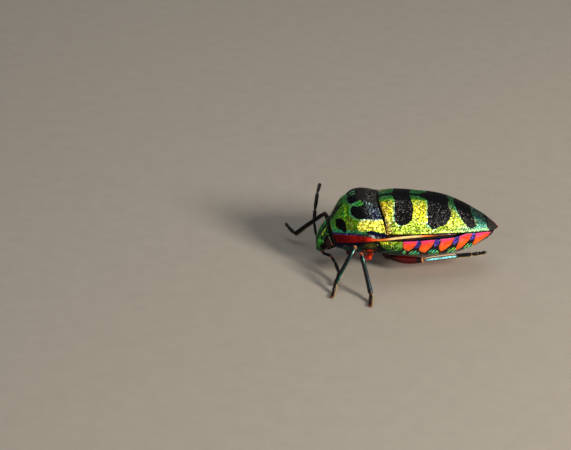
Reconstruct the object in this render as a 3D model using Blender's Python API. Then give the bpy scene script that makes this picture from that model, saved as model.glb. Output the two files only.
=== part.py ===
"""Jewel bug (shield bug family Scutelleridae) at life size, standing in mid-step.

Metres, +Z up, floor at z = 0. The head points along -X and the tail along +X, so the bug's left
flank faces -Y. Sizes below are in millimetres and are turned into metres when a mesh is made.
"""
import math

import bpy
from mathutils import Vector

MM = 0.001
GAP = 0.08                  # air between neighbouring plates
SECTION_COLUMNS = 16        # columns across a body section
LIMB_SIDES = 12             # sides of a leg or antenna segment

# Body plan. Each table runs from head to tail: (x, value).
HUNCH_X = -3.45             # hind margin of the pronotum on the midline
HUMERAL_SWEEP = 0.90        # how much further back that margin lies at the sides
NECK_X = -8.80              # front margin of the pronotum on the midline
NECK_TOP = 5.45             # height of that margin
NECK_LEAN = 0.40            # how far back the neck plane slopes, per unit of height
WAIST_X = -0.65             # thorax behind, abdomen ahead of this plane

PRONOTUM_HALF = [(-9.0, 1.95), (-8.0, 2.50), (-7.0, 2.95), (-5.5, 3.55), (-4.0, 4.05), (-2.3, 4.12)]
PRONOTUM_EDGE = [(-9.0, 3.75), (-8.0, 4.12), (-6.5, 4.48), (-5.1, 4.86), (-3.6, 5.24), (-2.3, 5.35)]
PRONOTUM_RIDGE = [(-9.0, 5.10), (-8.8, 5.50), (-8.0, 7.12), (-7.3, 8.24), (-6.4, 9.00), (-5.5, 9.24),
                  (-4.6, 9.08), (-3.6, 8.74), (-3.2, 8.68)]

SHIELD_HALF = [(-3.7, 3.98), (-0.5, 3.80), (1.8, 3.62), (3.5, 3.30), (5.3, 2.94), (7.0, 2.38),
               (8.65, 1.56), (9.55, 0.98), (10.28, 0.26)]
SHIELD_EDGE = [(-3.7, 5.98), (-0.5, 5.93), (3.0, 5.78), (5.3, 5.62), (7.0, 5.41), (8.65, 5.11),
               (10.28, 4.72)]
SHIELD_RIDGE = [(-3.4, 8.68), (-2.4, 8.90), (-0.5, 8.95), (1.8, 8.77), (3.5, 8.58), (5.3, 7.99),
                (7.0, 7.13), (8.65, 6.15), (9.55, 5.46), (10.28, 4.90)]
SHIELD_LIP = 0.76           # share of the half-width inside which the shield's underside is deeper
TAIL_X = 10.28

CORIUM_HALF = [(-2.5, 4.14), (0.0, 4.02), (3.0, 3.60), (5.6, 2.98)]
CORIUM_LAST_X = 5.6

TRUNK_TOP = [(-9.0, 3.67), (-8.0, 4.04), (-6.5, 4.40), (-5.1, 4.78), (-3.6, 5.14), (-0.7, 5.12),
             (3.0, 5.16), (5.4, 5.14), (6.4, 5.31), (8.0, 5.11), (9.3, 4.86), (10.0, 4.66)]
TRUNK_HALF = [(-8.6, 2.05), (-7.0, 2.80), (-5.5, 3.38), (-4.0, 3.86), (-2.4, 4.02), (-0.7, 3.92),
              (1.0, 3.82), (2.7, 3.58), (4.4, 3.18), (6.1, 2.66), (7.5, 2.12), (8.7, 1.48),
              (9.5, 0.92), (9.95, 0.38)]
TRUNK_KEEL = [(-8.6, 2.95), (-7.0, 2.55), (-5.5, 2.38), (-2.4, 2.32), (-0.7, 2.12), (1.0, 1.90),
              (2.7, 1.84), (4.4, 1.92), (6.1, 2.18), (7.5, 2.72), (8.7, 3.42), (9.5, 4.02),
              (9.95, 4.42)]
ABDOMEN_LAST_X = 9.95

PRONOTUM_ROUND = 2.30       # exponents of the rounded sections, 2 is an ellipse
SHIELD_ROUND = 2.12
TRUNK_ROUND = 2.20
HEAD_ROUND = 2.20
HEAD_TOP_ROUND = 3.60       # the top of the head is flatter than its underside

# Head: (top x, top z, underside x, underside z, half-width), from the neck to the tip.
HEAD_SECTIONS = [(-8.88, 5.42, -7.90, 3.00, 1.66), (-9.28, 4.78, -8.30, 2.72, 1.74),
                 (-9.68, 4.14, -8.68, 2.50, 1.68), (-10.00, 3.45, -9.04, 2.28, 1.48),
                 (-10.18, 2.84, -9.40, 2.06, 1.18), (-10.16, 2.36, -9.66, 1.92, 0.84),
                 (-10.02, 2.02, -9.84, 1.86, 0.46)]
EYE_CENTRE = (-8.76, 1.62, 3.80)
EYE_RADII = (0.42, 0.46, 0.60)
EYE_SEAT = 1.78             # distance of the eyes' flat inner face from the midline

ROSTRUM_X = (-9.0, -2.6)
ROSTRUM_RADIUS = 0.24
ROSTRUM_DROP = 0.36         # its centre line below the thorax

# Antenna joints on each side, from the head to the tip.
ANTENNA_RIGHT = [(-9.50, 1.30, 2.22), (-10.16, 1.95, 2.60), (-10.38, 2.50, 3.92), (-10.30, 3.10, 5.26),
                 (-10.02, 3.92, 7.00), (-9.70, 5.05, 7.66)]
ANTENNA_LEFT = [(-9.50, -1.30, 2.14), (-8.56, -1.98, 2.16), (-8.12, -2.80, 1.82), (-7.66, -3.80, 1.10),
                (-7.84, -4.62, 0.52), (-8.22, -5.30, 0.32)]
ANTENNA_RADII = [0.25, 0.25, 0.27, 0.27, 0.25]
ANTENNA_PINCH = 0.62        # how much thinner a segment is at its ends

# Legs: where the coxa leaves the body (x, y), knee, ankle, toe, and whether it stands on the floor.
LEGS = {
    "front_left": ((-6.45, -1.30), (-5.98, -4.42, 4.66), (-8.14, -6.12, 0.92), (-8.64, -7.90, 0.0), True),
    "front_right": ((-6.45, 1.30), (-9.14, 4.42, 4.10), (-12.58, 4.92, 1.02), (-13.70, 6.35, 1.85), False),
    "middle_left": ((-4.10, -1.40), (-5.30, -5.50, 4.36), (-4.24, -8.06, 0.74), (-4.42, -9.75, 0.0), True),
    "middle_right": ((-4.10, 1.40), (-4.30, 5.70, 4.50), (-3.50, 7.75, 0.88), (-3.20, 9.60, 0.0), True),
    "hind_left": ((-2.45, -1.40), (1.75, -3.20, 2.35), (7.25, -2.50, 2.64), (9.00, -2.10, 2.72), False),
    "hind_right": ((-2.45, 1.40), (0.95, 5.00, 3.45), (5.40, 6.60, 0.90), (7.25, 7.20, 0.0), True),
}
COXA_RADIUS = 0.40
COXA_LENGTH = 0.58
COXA_LEAN = 0.22            # how far its lower end lies further out
FEMUR_BOW = 0.22            # how far a femur sags below the straight line to the knee
FEMUR_RADII = {"front": 0.38, "middle": 0.38, "hind": 0.44}
KNEE_RADIUS = 0.28
TIBIA_RADII = (0.25, 0.28)  # below the knee, at the ankle
TARSUS_RADIUS = 0.25
SOLE_LEVEL = 0.70           # a standing tarsus is cut flat this share of its radius below its centre line
HEEL_SHARE = 0.42           # where a standing tarsus reaches the floor, from ankle to toe

CUTICLE_GREEN = ((0.10, 0.42, 0.06), 0.35, 0.85)    # colour, roughness, metallic
CUTICLE_RED = ((0.62, 0.06, 0.03), 0.35, 0.10)
CUTICLE_BLACK = ((0.012, 0.012, 0.016), 0.30, 0.20)
CORIUM_ORANGE = ((0.80, 0.30, 0.05), 0.35, 0.00)
EYE_BROWN = ((0.10, 0.02, 0.015), 0.15, 0.00)
LEG_RED = ((0.30, 0.03, 0.02), 0.35, 0.05)


def clear_scene():
    for existing in list(bpy.data.objects):
        bpy.data.objects.remove(existing, do_unlink=True)


def finish_material(name, colour, roughness, metallic):
    material = bpy.data.materials.new(name)
    material.use_nodes = True
    shader = material.node_tree.nodes["Principled BSDF"]
    shader.inputs["Base Color"].default_value = (*colour, 1.0)
    shader.inputs["Roughness"].default_value = roughness
    shader.inputs["Metallic"].default_value = metallic
    material.diffuse_color = (*colour, 1.0)
    return material


def along(table, x):
    """The value at x on a smooth curve through a table's points."""
    if x <= table[0][0]:
        return table[0][1]
    if x >= table[-1][0]:
        return table[-1][1]
    i = max(k for k in range(len(table) - 1) if table[k][0] <= x)
    (x0, y0), (x1, y1) = table[i], table[i + 1]
    step = (y1 - y0) / (x1 - x0)
    before = (y0 - table[i - 1][1]) / (x0 - table[i - 1][0]) if i else step
    after = (table[i + 2][1] - y1) / (table[i + 2][0] - x1) if i + 2 < len(table) else step
    m0, m1 = (before + step) / 2 * (x1 - x0), (step + after) / 2 * (x1 - x0)
    t = (x - x0) / (x1 - x0)
    return ((2 * t ** 3 - 3 * t ** 2 + 1) * y0 + (t ** 3 - 2 * t ** 2 + t) * m0
            + (3 * t ** 2 - 2 * t ** 3) * y1 + (t ** 3 - t ** 2) * m1)


def swell(share, roundness):
    """Height of a rounded section, 1 in the middle and 0 at its edge, where share is 1."""
    return max(0.0, 1.0 - abs(share) ** roundness) ** (1.0 / roundness)


def columns():
    """Shares of the half-width across a section, closer together towards the edges."""
    return [-math.cos(math.pi * i / SECTION_COLUMNS) for i in range(SECTION_COLUMNS + 1)]


def mesh_object(name, points, faces, finish):
    mesh = bpy.data.meshes.new(name)
    mesh.from_pydata([Vector(p) * MM for p in points], [], faces)
    mesh.validate()
    mesh.shade_smooth()
    mesh.set_sharp_from_angle(angle=math.radians(50))
    mesh.materials.append(finish)
    made = bpy.data.objects.new(name, mesh)
    bpy.context.scene.collection.objects.link(made)
    return made


def slab(name, sections, finish):
    """A closed solid from sections of (upper points, lower points), which share their columns.

    The first and last columns of a section are its edges. Both ends are closed with strips, so
    an end may follow a curve across the body.
    """
    count = len(sections[0][0])
    ring = 2 * count
    points = [p for upper, lower in sections for p in upper + lower[::-1]]
    faces = []
    for s in range(len(sections) - 1):
        for i in range(ring):
            j = (i + 1) % ring
            faces.append((s * ring + i, (s + 1) * ring + i, (s + 1) * ring + j, s * ring + j))
    for base, flip in ((0, False), ((len(sections) - 1) * ring, True)):
        for i in range(count - 1):
            strip = (base + i, base + i + 1, base + ring - 2 - i, base + ring - 1 - i)
            faces.append(strip[::-1] if flip else strip)
    return mesh_object(name, points, faces, finish)


def tube(name, rings, finish):
    """A closed solid from rings of points, with flat ends."""
    sides = len(rings[0])
    points = [p for ring in rings for p in ring]
    faces = [tuple(range(sides))[::-1]]
    for s in range(len(rings) - 1):
        for i in range(sides):
            j = (i + 1) % sides
            faces.append((s * sides + i, s * sides + j, (s + 1) * sides + j, (s + 1) * sides + i))
    faces.append(tuple((len(rings) - 1) * sides + i for i in range(sides)))
    return mesh_object(name, points, faces, finish)


def round_ring(centre, direction, radius, sole=1.0):
    """A ring round a limb's centre line, cut flat on its underside at sole times its radius."""
    side = Vector((0, 0, 1)).cross(direction).normalized()
    rise = direction.cross(side)
    ring = []
    for i in range(LIMB_SIDES):
        turn = 2 * math.pi * (i + 0.5) / LIMB_SIDES
        height = max(math.sin(turn), -sole)
        ring.append(centre + side * radius * math.cos(turn) + rise * radius * height)
    return ring


def limb(name, start, end, profile, finish, bow=0.0):
    """A round segment from start to end, with profile giving (share of its length, radius).

    bow is how far the middle of its centre line lies below the straight line.
    """
    start, end = Vector(start), Vector(end)
    direction = (end - start).normalized()
    sag = direction.cross(Vector((0, 0, 1)).cross(direction)).normalized() * -bow
    rings = []
    for share, radius in profile:
        centre = start.lerp(end, share) + sag * math.sin(math.pi * share)
        heading = (end - start) + sag * math.pi * math.cos(math.pi * share)
        rings.append(round_ring(centre, heading.normalized(), radius))
    return tube(name, rings, finish)


def neck_x(ahead, height):
    """Where the neck plane lies at a height, ahead of it by a distance."""
    return NECK_X - ahead + NECK_LEAN * (NECK_TOP - height)


def pronotum(finish):
    """The collar plate: a hunched dome, cut by the leaning neck plane and a swept hind margin."""
    sections = []
    steps = 12
    for s in range(steps + 1):
        share = s / steps
        upper, lower = [], []
        for across in columns():
            hind = HUNCH_X - GAP + HUMERAL_SWEEP * across ** 2
            height = NECK_TOP
            for _ in range(8):
                x = neck_x(0.0, height) * (1 - share) + hind * share
                edge = along(PRONOTUM_EDGE, x)
                rise = along(PRONOTUM_RIDGE, x) - edge
                height = edge + 0.04 + rise * swell(across, PRONOTUM_ROUND)
            upper.append((x, along(PRONOTUM_HALF, x) * across, height))
            height = NECK_TOP
            for _ in range(8):
                x = neck_x(0.0, height) * (1 - share) + hind * share
                height = along(PRONOTUM_EDGE, x)
            lower.append((x, along(PRONOTUM_HALF, x) * across, height))
        sections.append((upper, lower))
    return slab("pronotum", sections, finish)


def scutellum(finish):
    """The shield over the whole back, deeper inside its lips, which lie on the coria."""
    sections = []
    steps = 20
    for s in range(steps + 1):
        share = s / steps
        upper, lower = [], []
        for across in columns():
            first = HUNCH_X + GAP + HUMERAL_SWEEP * across ** 2
            x = first * (1 - share) + TAIL_X * share
            edge = along(SHIELD_EDGE, x)
            half = along(SHIELD_HALF, x)
            rise = along(SHIELD_RIDGE, x) - edge
            upper.append((x, half * across, edge + 0.04 + rise * swell(across, SHIELD_ROUND)))
            inside = abs(across) < SHIELD_LIP and x < ABDOMEN_LAST_X
            lower.append((x, half * across, along(TRUNK_TOP, x) + GAP if inside else edge))
        sections.append((upper, lower))
    return slab("scutellum", sections, finish)


def corium(name, side, finish):
    """The strip of forewing that shows between the shield's lip and the belly."""
    sections = []
    steps = 10
    for s in range(steps + 1):
        share = s / steps
        upper, lower = [], []
        for i in range(5):
            across = i / 4
            front = HUNCH_X + 2 * GAP + HUMERAL_SWEEP
            x = front * (1 - share) + CORIUM_LAST_X * share
            inner = (SHIELD_LIP + 0.06) * along(SHIELD_HALF, x)
            outer = along(CORIUM_HALF, x)
            lid = along(SHIELD_EDGE, x) - GAP
            seat = along(TRUNK_TOP, x) + GAP
            droop = max(0.0, across - 0.6) / 0.4
            y = side * (inner + (outer - inner) * across)
            upper.append((x, y, lid - droop * 0.62 * (lid - seat)))
            lower.append((x, y, seat))
        sections.append((upper, lower) if side > 0 else (upper[::-1], lower[::-1]))
    return slab(name, sections, finish)


def trunk(name, first, last, steps, leaning, finish):
    """A length of the body under the plates, flat on top and rounded below."""
    sections = []
    for s in range(steps + 1):
        share = s / steps
        upper, lower = [], []
        for across in columns():
            x = first * (1 - share) + last * share
            for points, depth in ((upper, 0.0), (lower, 1.0)):
                height = along(TRUNK_TOP, x)
                for _ in range(8):
                    if leaning:
                        x = neck_x(0.0, height) * (1 - share) + last * share
                    top = along(TRUNK_TOP, x)
                    drop = (top - 0.04 - along(TRUNK_KEEL, x)) * swell(across, TRUNK_ROUND)
                    height = top - depth * (0.04 + drop)
                points.append((x, along(TRUNK_HALF, x) * across, height))
        sections.append((upper, lower))
    return slab(name, sections, finish)


def head(finish):
    """The bent-down head, a wedge from the neck plane to the tip of the clypeus."""
    rings = []
    sides = 24
    for top_x, top_z, under_x, under_z, half in HEAD_SECTIONS:
        top, under = Vector((top_x, 0, top_z)), Vector((under_x, 0, under_z))
        middle, reach = (top + under) / 2, (top - under) / 2
        ring = []
        for i in range(sides):
            turn = -2 * math.pi * i / sides
            c, s = math.cos(turn), math.sin(turn)
            power = 2 / (HEAD_TOP_ROUND if s > 0 else HEAD_ROUND)
            y = half * math.copysign(abs(c) ** power, c)
            ring.append(middle + Vector((0, y, 0)) + reach * math.copysign(abs(s) ** power, s))
        rings.append(ring)
    return tube("head", rings, finish)


def eye(name, side, finish):
    """A domed eye, flat where it sits against the head."""
    x, y, z = EYE_CENTRE
    rows, sides = 4, 14
    rings = []
    for row in range(rows + 1):
        lift = (0.12 + 0.84 * row / rows) * math.pi / 2
        out = y + EYE_RADII[1] * math.sin(lift)
        rings.append([(x + EYE_RADII[0] * math.cos(lift) * math.cos(2 * math.pi * i / sides),
                       side * max(out, EYE_SEAT),
                       z + side * EYE_RADII[2] * math.cos(lift) * math.sin(2 * math.pi * i / sides) * -1)
                      for i in range(sides)])
    return tube(name, rings, finish)


def rostrum(finish):
    """The folded beak, from the tip of the head back between the legs."""
    rings = []
    steps = 8
    for s in range(steps + 1):
        x = ROSTRUM_X[0] + (ROSTRUM_X[1] - ROSTRUM_X[0]) * s / steps
        height = along(TRUNK_KEEL, x) - ROSTRUM_DROP
        if x < -7.8:
            height = along(TRUNK_KEEL, -7.8) - ROSTRUM_DROP - 0.42 * (-7.8 - x)
        taper = 1.0 - 0.35 * (s / steps) ** 3
        rings.append(round_ring(Vector((x, 0, height)), Vector((1, 0, 0)), ROSTRUM_RADIUS * taper))
    return tube("rostrum", rings, finish)


def antenna(side_name, joints, finish):
    """Five spindle-shaped segments, each in its own node."""
    pinch = ANTENNA_PINCH
    for number, radius in enumerate(ANTENNA_RADII):
        a, b = Vector(joints[number]), Vector(joints[number + 1])
        inset = (b - a).normalized() * GAP * 0.9
        profile = [(0.0, radius * pinch), (0.12, radius * 0.88), (0.5, radius), (0.88, radius * 0.88),
                   (1.0, radius * pinch)]
        limb(f"antenna_{side_name}_{number + 1}", a + inset, b - inset, profile, finish)


def coxa_ends(place):
    """The upper and lower end of a coxa under the thorax at (x, y)."""
    x, y = place
    half = along(TRUNK_HALF, x)
    top = along(TRUNK_TOP, x) - 0.04
    under = top - (top - along(TRUNK_KEEL, x)) * swell(y / half, TRUNK_ROUND)
    lean = math.copysign(COXA_LEAN, y)
    upper = Vector((x, y, under - 0.04))
    return upper, upper + Vector((0, lean, -COXA_LENGTH))


def leg(key, finish_femur, finish_dark):
    """Coxa, femur, tibia and tarsus of one leg."""
    place, knee, ankle, toe, standing = LEGS[key]
    pair = key.split("_")[0]
    upper, lower = coxa_ends(place)
    lid = [Vector((upper.x + COXA_RADIUS * math.cos(a), upper.y + COXA_RADIUS * math.sin(a), 0))
           for a in (2 * math.pi * i / LIMB_SIDES for i in range(LIMB_SIDES))]
    rings = []
    for share, radius in ((0.0, 0.95), (0.4, 1.0), (0.8, 0.8), (1.0, 0.5)):
        centre = upper.lerp(lower, share)
        ring = [centre + (p - Vector((upper.x, upper.y, 0))) * radius for p in lid]
        if share == 0.0:
            ring = [Vector((p.x, p.y, coxa_ends((p.x, p.y))[0].z - GAP / 2)) for p in ring]
        rings.append(ring[::-1])
    tube(f"coxa_{key}", rings, finish_femur)

    knee, ankle, toe = Vector(knee), Vector(ankle), Vector(toe)
    thick = FEMUR_RADII[pair]
    out = (knee - lower).normalized()
    beside = Vector((out.x, out.y, 0)).normalized()
    start = lower + beside * (COXA_RADIUS * 0.8 + 2 * GAP) + Vector((0, 0, 0.10))
    profile = [(0.0, 0.20), (0.06, 0.27), (0.25, thick * 0.86), (0.5, thick), (0.75, thick * 0.88),
               (0.93, KNEE_RADIUS), (1.0, KNEE_RADIUS * 0.72)]
    limb(f"femur_{key}", start, knee + out * KNEE_RADIUS * 0.4, profile, finish_femur, FEMUR_BOW)

    down = (ankle - knee).normalized()
    bend = 1.0 - out.dot(down)
    start = knee + down * (KNEE_RADIUS * (0.6 + 0.75 * bend) + GAP)
    profile = [(0.0, 0.20), (0.05, TIBIA_RADII[0]), (0.5, sum(TIBIA_RADII) / 2), (0.94, TIBIA_RADII[1]),
               (1.0, TIBIA_RADII[1] * 0.8)]
    limb(f"tibia_{key}", start, ankle - down * GAP, profile, finish_dark)

    r = TARSUS_RADIUS
    if standing:
        toe.z = r * SOLE_LEVEL
        run = Vector((toe.x - ankle.x, toe.y - ankle.y, 0))
        flat = run.normalized()
        heel = Vector((ankle.x, ankle.y, toe.z)) + run * HEEL_SHARE
        slope = (heel - ankle).normalized()
        rings = [round_ring(ankle + slope * (GAP + 0.04), slope, r * 0.74),
                 round_ring(ankle.lerp(heel, 0.45), slope, r),
                 round_ring(heel, flat, r, SOLE_LEVEL),
                 round_ring(heel.lerp(toe, 0.85), flat, r, SOLE_LEVEL),
                 round_ring(toe, flat, r * 0.8, SOLE_LEVEL / 0.8)]
    else:
        slope = (toe - ankle).normalized()
        first = (TIBIA_RADII[1] + GAP) / (toe - ankle).length
        stations = [(first, 0.74), (0.3, 1.0), (0.55, 0.86), (0.85, 1.0), (1.0, 0.8)]
        rings = [round_ring(ankle.lerp(toe, share), slope, r * radius) for share, radius in stations]
    tube(f"tarsus_{key}", rings, finish_dark)


def stand_on_origin():
    """Moves every mesh so that the origin lies under the middle of the whole bug's box."""
    corners = [v.co for o in bpy.data.objects for v in o.data.vertices]
    low = Vector((min(c.x for c in corners), min(c.y for c in corners), min(c.z for c in corners)))
    high = Vector((max(c.x for c in corners), max(c.y for c in corners), 0))
    shift = Vector((-(low.x + high.x) / 2, -(low.y + high.y) / 2, -low.z))
    for o in bpy.data.objects:
        o.location = shift


def build():
    clear_scene()
    green = finish_material("cuticle_green", *CUTICLE_GREEN)
    red = finish_material("cuticle_red", *CUTICLE_RED)
    black = finish_material("cuticle_black", *CUTICLE_BLACK)
    orange = finish_material("corium_orange", *CORIUM_ORANGE)
    brown = finish_material("eye_brown", *EYE_BROWN)
    leg_red = finish_material("leg_red", *LEG_RED)
    pronotum(green)
    scutellum(green)
    corium("corium_left", -1, orange)
    corium("corium_right", 1, orange)
    trunk("thorax", NECK_X, WAIST_X - GAP / 2, 10, True, green)
    trunk("abdomen", WAIST_X + GAP / 2, ABDOMEN_LAST_X, 16, False, red)
    head(green)
    eye("eye_left", -1, brown)
    eye("eye_right", 1, brown)
    rostrum(black)
    antenna("left", ANTENNA_LEFT, black)
    antenna("right", ANTENNA_RIGHT, black)
    for key in LEGS:
        leg(key, leg_red, black)
    stand_on_origin()


build()
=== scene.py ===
"""Looks of the jewel bug: fine shells, head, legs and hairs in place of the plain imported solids.

Lengths are in millimetres in the bug's own frame: the head points along -X, the left flank faces
-Y and the floor is at z = 0. piece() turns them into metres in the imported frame. On the plates, w is
the distance over the shell from the midline, and on the trunk it is the distance down from the rim.
"""

import bpy
import numpy as np
from mathutils import Euler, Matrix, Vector


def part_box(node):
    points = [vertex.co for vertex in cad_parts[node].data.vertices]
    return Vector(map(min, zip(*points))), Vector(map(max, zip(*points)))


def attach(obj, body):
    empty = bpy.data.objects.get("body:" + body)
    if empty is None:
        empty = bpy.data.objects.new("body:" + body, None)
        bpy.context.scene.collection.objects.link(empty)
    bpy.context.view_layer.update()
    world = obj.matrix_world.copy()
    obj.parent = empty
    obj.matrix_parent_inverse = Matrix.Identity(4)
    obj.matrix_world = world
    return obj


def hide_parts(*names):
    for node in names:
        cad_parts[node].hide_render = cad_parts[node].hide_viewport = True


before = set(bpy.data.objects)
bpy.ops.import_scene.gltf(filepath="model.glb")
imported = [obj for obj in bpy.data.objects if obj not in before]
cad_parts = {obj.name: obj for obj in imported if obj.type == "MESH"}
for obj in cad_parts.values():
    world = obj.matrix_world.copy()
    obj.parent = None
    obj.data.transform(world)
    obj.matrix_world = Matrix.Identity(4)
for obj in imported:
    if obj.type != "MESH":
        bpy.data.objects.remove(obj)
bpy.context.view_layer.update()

MM = 0.001
FINE = 1.0      # share of the full mesh fineness

SHELL_SLOT = "shell_green"
CORIUM_SLOT = "corium_orange"
FEMUR_SLOT = "femur_red"
LIMB_SLOT = "limb_black"
EYE_SLOT = "eye_brown"

# Colours that are used more than once, as hexadecimal codes.
GOLD = "DEDE1C"
DEEP_GOLD = "B98A1C"
LIME = "B0E03A"
PALE_LIME = "C9F27A"
GREEN = "3EB204"
LEAF = "1F7A2E"
DEEP_GREEN = "0C4A2C"
TEAL = "0E6B62"
CYAN = "63D8C0"
BLACK = "0B0B0D"
NIGHT = "141A52"
VIOLET = "6846E0"
SCARLET = "FC4A1A"
REFLECTED_PINK = "EE3F8A"
HIGHLIGHT_CREAM = "F7D28C"
ORANGE = "EE7420"
UMBER = "3A160C"
RUST = "7A2410"
HORN = "C98A4A"
STRAW = "E8D6A6"


class Curve:
    """A smooth curve through (position, value) points, level beyond its ends."""

    def __init__(self, *points):
        self.at, self.value = np.array(points, float).T
        step = np.diff(self.value) / np.diff(self.at)
        self.slope = np.concatenate([step[:1], (step[:-1] + step[1:]) / 2, step[-1:]])

    def __call__(self, at):
        at = np.clip(at, self.at[0], self.at[-1])
        i = np.clip(np.searchsorted(self.at, at, side="right") - 1, 0, len(self.at) - 2)
        span = self.at[i + 1] - self.at[i]
        t = (at - self.at[i]) / span
        start, end = self.slope[i] * span, self.slope[i + 1] * span
        return ((2 * t ** 3 - 3 * t ** 2 + 1) * self.value[i] + (t ** 3 - 2 * t ** 2 + t) * start
                + (3 * t ** 2 - 2 * t ** 3) * self.value[i + 1] + (t ** 3 - t ** 2) * end)


# Body plan, as in the solids.
GAP = 0.08
HUNCH_X = -3.45
HUMERAL_SWEEP = 0.9
NECK_X = -8.8
NECK_TOP = 5.45
NECK_LEAN = 0.4
WAIST_X = -0.65
TAIL_X = 10.28
ABDOMEN_LAST_X = 9.95
CORIUM_LAST_X = 5.6
PRONOTUM_HALF = Curve((-9, 1.95), (-8, 2.5), (-7, 2.95), (-5.5, 3.55), (-4, 4.05), (-2.3, 4.12))
PRONOTUM_EDGE = Curve((-9, 3.75), (-8, 4.12), (-6.5, 4.48), (-5.1, 4.86), (-3.6, 5.24), (-2.3, 5.35))
PRONOTUM_RIDGE = Curve((-9, 5.1), (-8.8, 5.5), (-8, 7.12), (-7.3, 8.24), (-6.4, 9), (-5.5, 9.24),
                       (-4.6, 9.08), (-3.6, 8.74), (-3.2, 8.68))
SHIELD_HALF = Curve((-3.7, 3.98), (-0.5, 3.8), (1.8, 3.62), (3.5, 3.3), (5.3, 2.94), (7, 2.38), (8.65, 1.56),
                    (9.55, 0.98), (10.28, 0.26))
SHIELD_EDGE = Curve((-3.7, 5.98), (-0.5, 5.93), (3, 5.78), (5.3, 5.62), (7, 5.41), (8.65, 5.11),
                    (10.28, 4.72))
SHIELD_RIDGE = Curve((-3.4, 8.68), (-2.4, 8.9), (-0.5, 8.95), (1.8, 8.77), (3.5, 8.58), (5.3, 7.99),
                     (7, 7.13), (8.65, 6.15), (9.55, 5.46), (10.28, 4.9))
CORIUM_HALF = Curve((-2.5, 4.14), (0, 4.02), (3, 3.6), (5.6, 2.98))
TRUNK_TOP = Curve((-9, 3.67), (-8, 4.04), (-6.5, 4.4), (-5.1, 4.78), (-3.6, 5.14), (-0.7, 5.12), (3, 5.16),
                  (5.4, 5.14), (6.4, 5.31), (8, 5.11), (9.3, 4.86), (10, 4.66))
TRUNK_HALF = Curve((-8.6, 2.05), (-7, 2.8), (-5.5, 3.38), (-4, 3.86), (-2.4, 4.02), (-0.7, 3.92), (1, 3.82),
                   (2.7, 3.58), (4.4, 3.18), (6.1, 2.66), (7.5, 2.12), (8.7, 1.48), (9.5, 0.92),
                   (9.95, 0.38))
TRUNK_KEEL = Curve((-8.6, 2.95), (-7, 2.55), (-5.5, 2.38), (-2.4, 2.32), (-0.7, 2.12), (1, 1.9), (2.7, 1.84),
                   (4.4, 1.92), (6.1, 2.18), (7.5, 2.72), (8.7, 3.42), (9.5, 4.02), (9.95, 4.42))
PRONOTUM_ROUND = 2.3
SHIELD_ROUND = 2.12
TRUNK_ROUND = 2.2
HEAD_ROUND = 2.2
HEAD_TOP_ROUND = 3.6        # the top of the head is flatter than its underside
# x and z of the top, x and z of the underside, and half the width, from neck to nose.
HEAD_SECTIONS = [(-8.88, 5.42, -7.9, 3, 1.66), (-9.28, 4.78, -8.3, 2.72, 1.74),
                 (-9.68, 4.14, -8.68, 2.5, 1.68), (-10, 3.45, -9.04, 2.28, 1.48),
                 (-10.18, 2.84, -9.4, 2.06, 1.18), (-10.16, 2.36, -9.66, 1.92, 0.84),
                 (-10.02, 2.02, -9.84, 1.86, 0.46)]
EYE_CENTRE = np.array((-8.76, 1.62, 3.8))
EYE_RADII = np.array((0.42, 0.46, 0.6))
ANTENNAE = {
    "right": [(-9.5, 1.3, 2.22), (-10.16, 1.95, 2.6), (-10.38, 2.5, 3.92), (-10.3, 3.1, 5.26),
              (-10.02, 3.92, 7), (-9.7, 5.05, 7.66)],
    "left": [(-9.5, -1.3, 2.14), (-8.56, -1.98, 2.16), (-8.12, -2.8, 1.82), (-7.66, -3.8, 1.1),
             (-7.84, -4.62, 0.52), (-8.22, -5.3, 0.32)],
}
# Root on the trunk, knee, ankle, toe, and whether the foot is on the floor.
LEGS = {
    "front_left": ((-6.45, -1.3), (-5.98, -4.42, 4.66), (-8.14, -6.12, 0.92), (-8.64, -7.9, 0), True),
    "front_right": ((-6.45, 1.3), (-9.14, 4.42, 4.1), (-12.58, 4.92, 1.02), (-13.7, 6.35, 1.85), False),
    "middle_left": ((-4.1, -1.4), (-5.3, -5.5, 4.36), (-4.24, -8.06, 0.74), (-4.42, -9.75, 0), True),
    "middle_right": ((-4.1, 1.4), (-4.3, 5.7, 4.5), (-3.5, 7.75, 0.88), (-3.2, 9.6, 0), True),
    "hind_left": ((-2.45, -1.4), (1.75, -3.2, 2.35), (7.25, -2.5, 2.64), (9, -2.1, 2.72), False),
    "hind_right": ((-2.45, 1.4), (0.95, 5, 3.45), (5.4, 6.6, 0.9), (7.25, 7.2, 0), True),
}

# Markings. Each outline is a few (x, w) points, and is the same on both sides of the midline.
STREAK = [(-8.85, -0.3), (-7.95, -0.2), (-7.85, 0.15), (-7.5, 0.5), (-7.4, 0.82), (-7.7, 0.85), (-8.2, 0.7),
          (-8.6, 0.42), (-8.85, 0.2)]
SPOT = [(-8.05, 1.7), (-7.78, 2), (-7.5, 2.4), (-7.2, 2.95), (-6.95, 3.6), (-6.85, 4.2), (-6.92, 4.6),
        (-7.12, 4.42), (-7.4, 3.95), (-7.75, 3.2), (-7.98, 2.6), (-8.08, 2.1)]
INNER_LOBE = [(-6, -0.5), (-5.9, 0.3), (-6.3, 0.42), (-6.62, 0.15), (-6.85, 0.35), (-6.8, 1.05), (-6.6, 1.5),
              (-6.25, 1.78), (-5.9, 1.72), (-5.4, 1.62), (-5.1, 1.9), (-4.6, 2.3), (-2, 2.3), (-2, -0.5)]
OUTER_LOBE = [(-6.2, 2.1), (-6.45, 2.3), (-6.43, 2.75), (-6.22, 3.25), (-5.9, 3.6), (-5.5, 3.78),
              (-4.6, 3.83), (-3.9, 3.75), (-3.2, 3.6), (-2, 3.45), (-2, 2), (-4.6, 1.9), (-5.1, 2.12),
              (-5.6, 2.32)]
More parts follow.
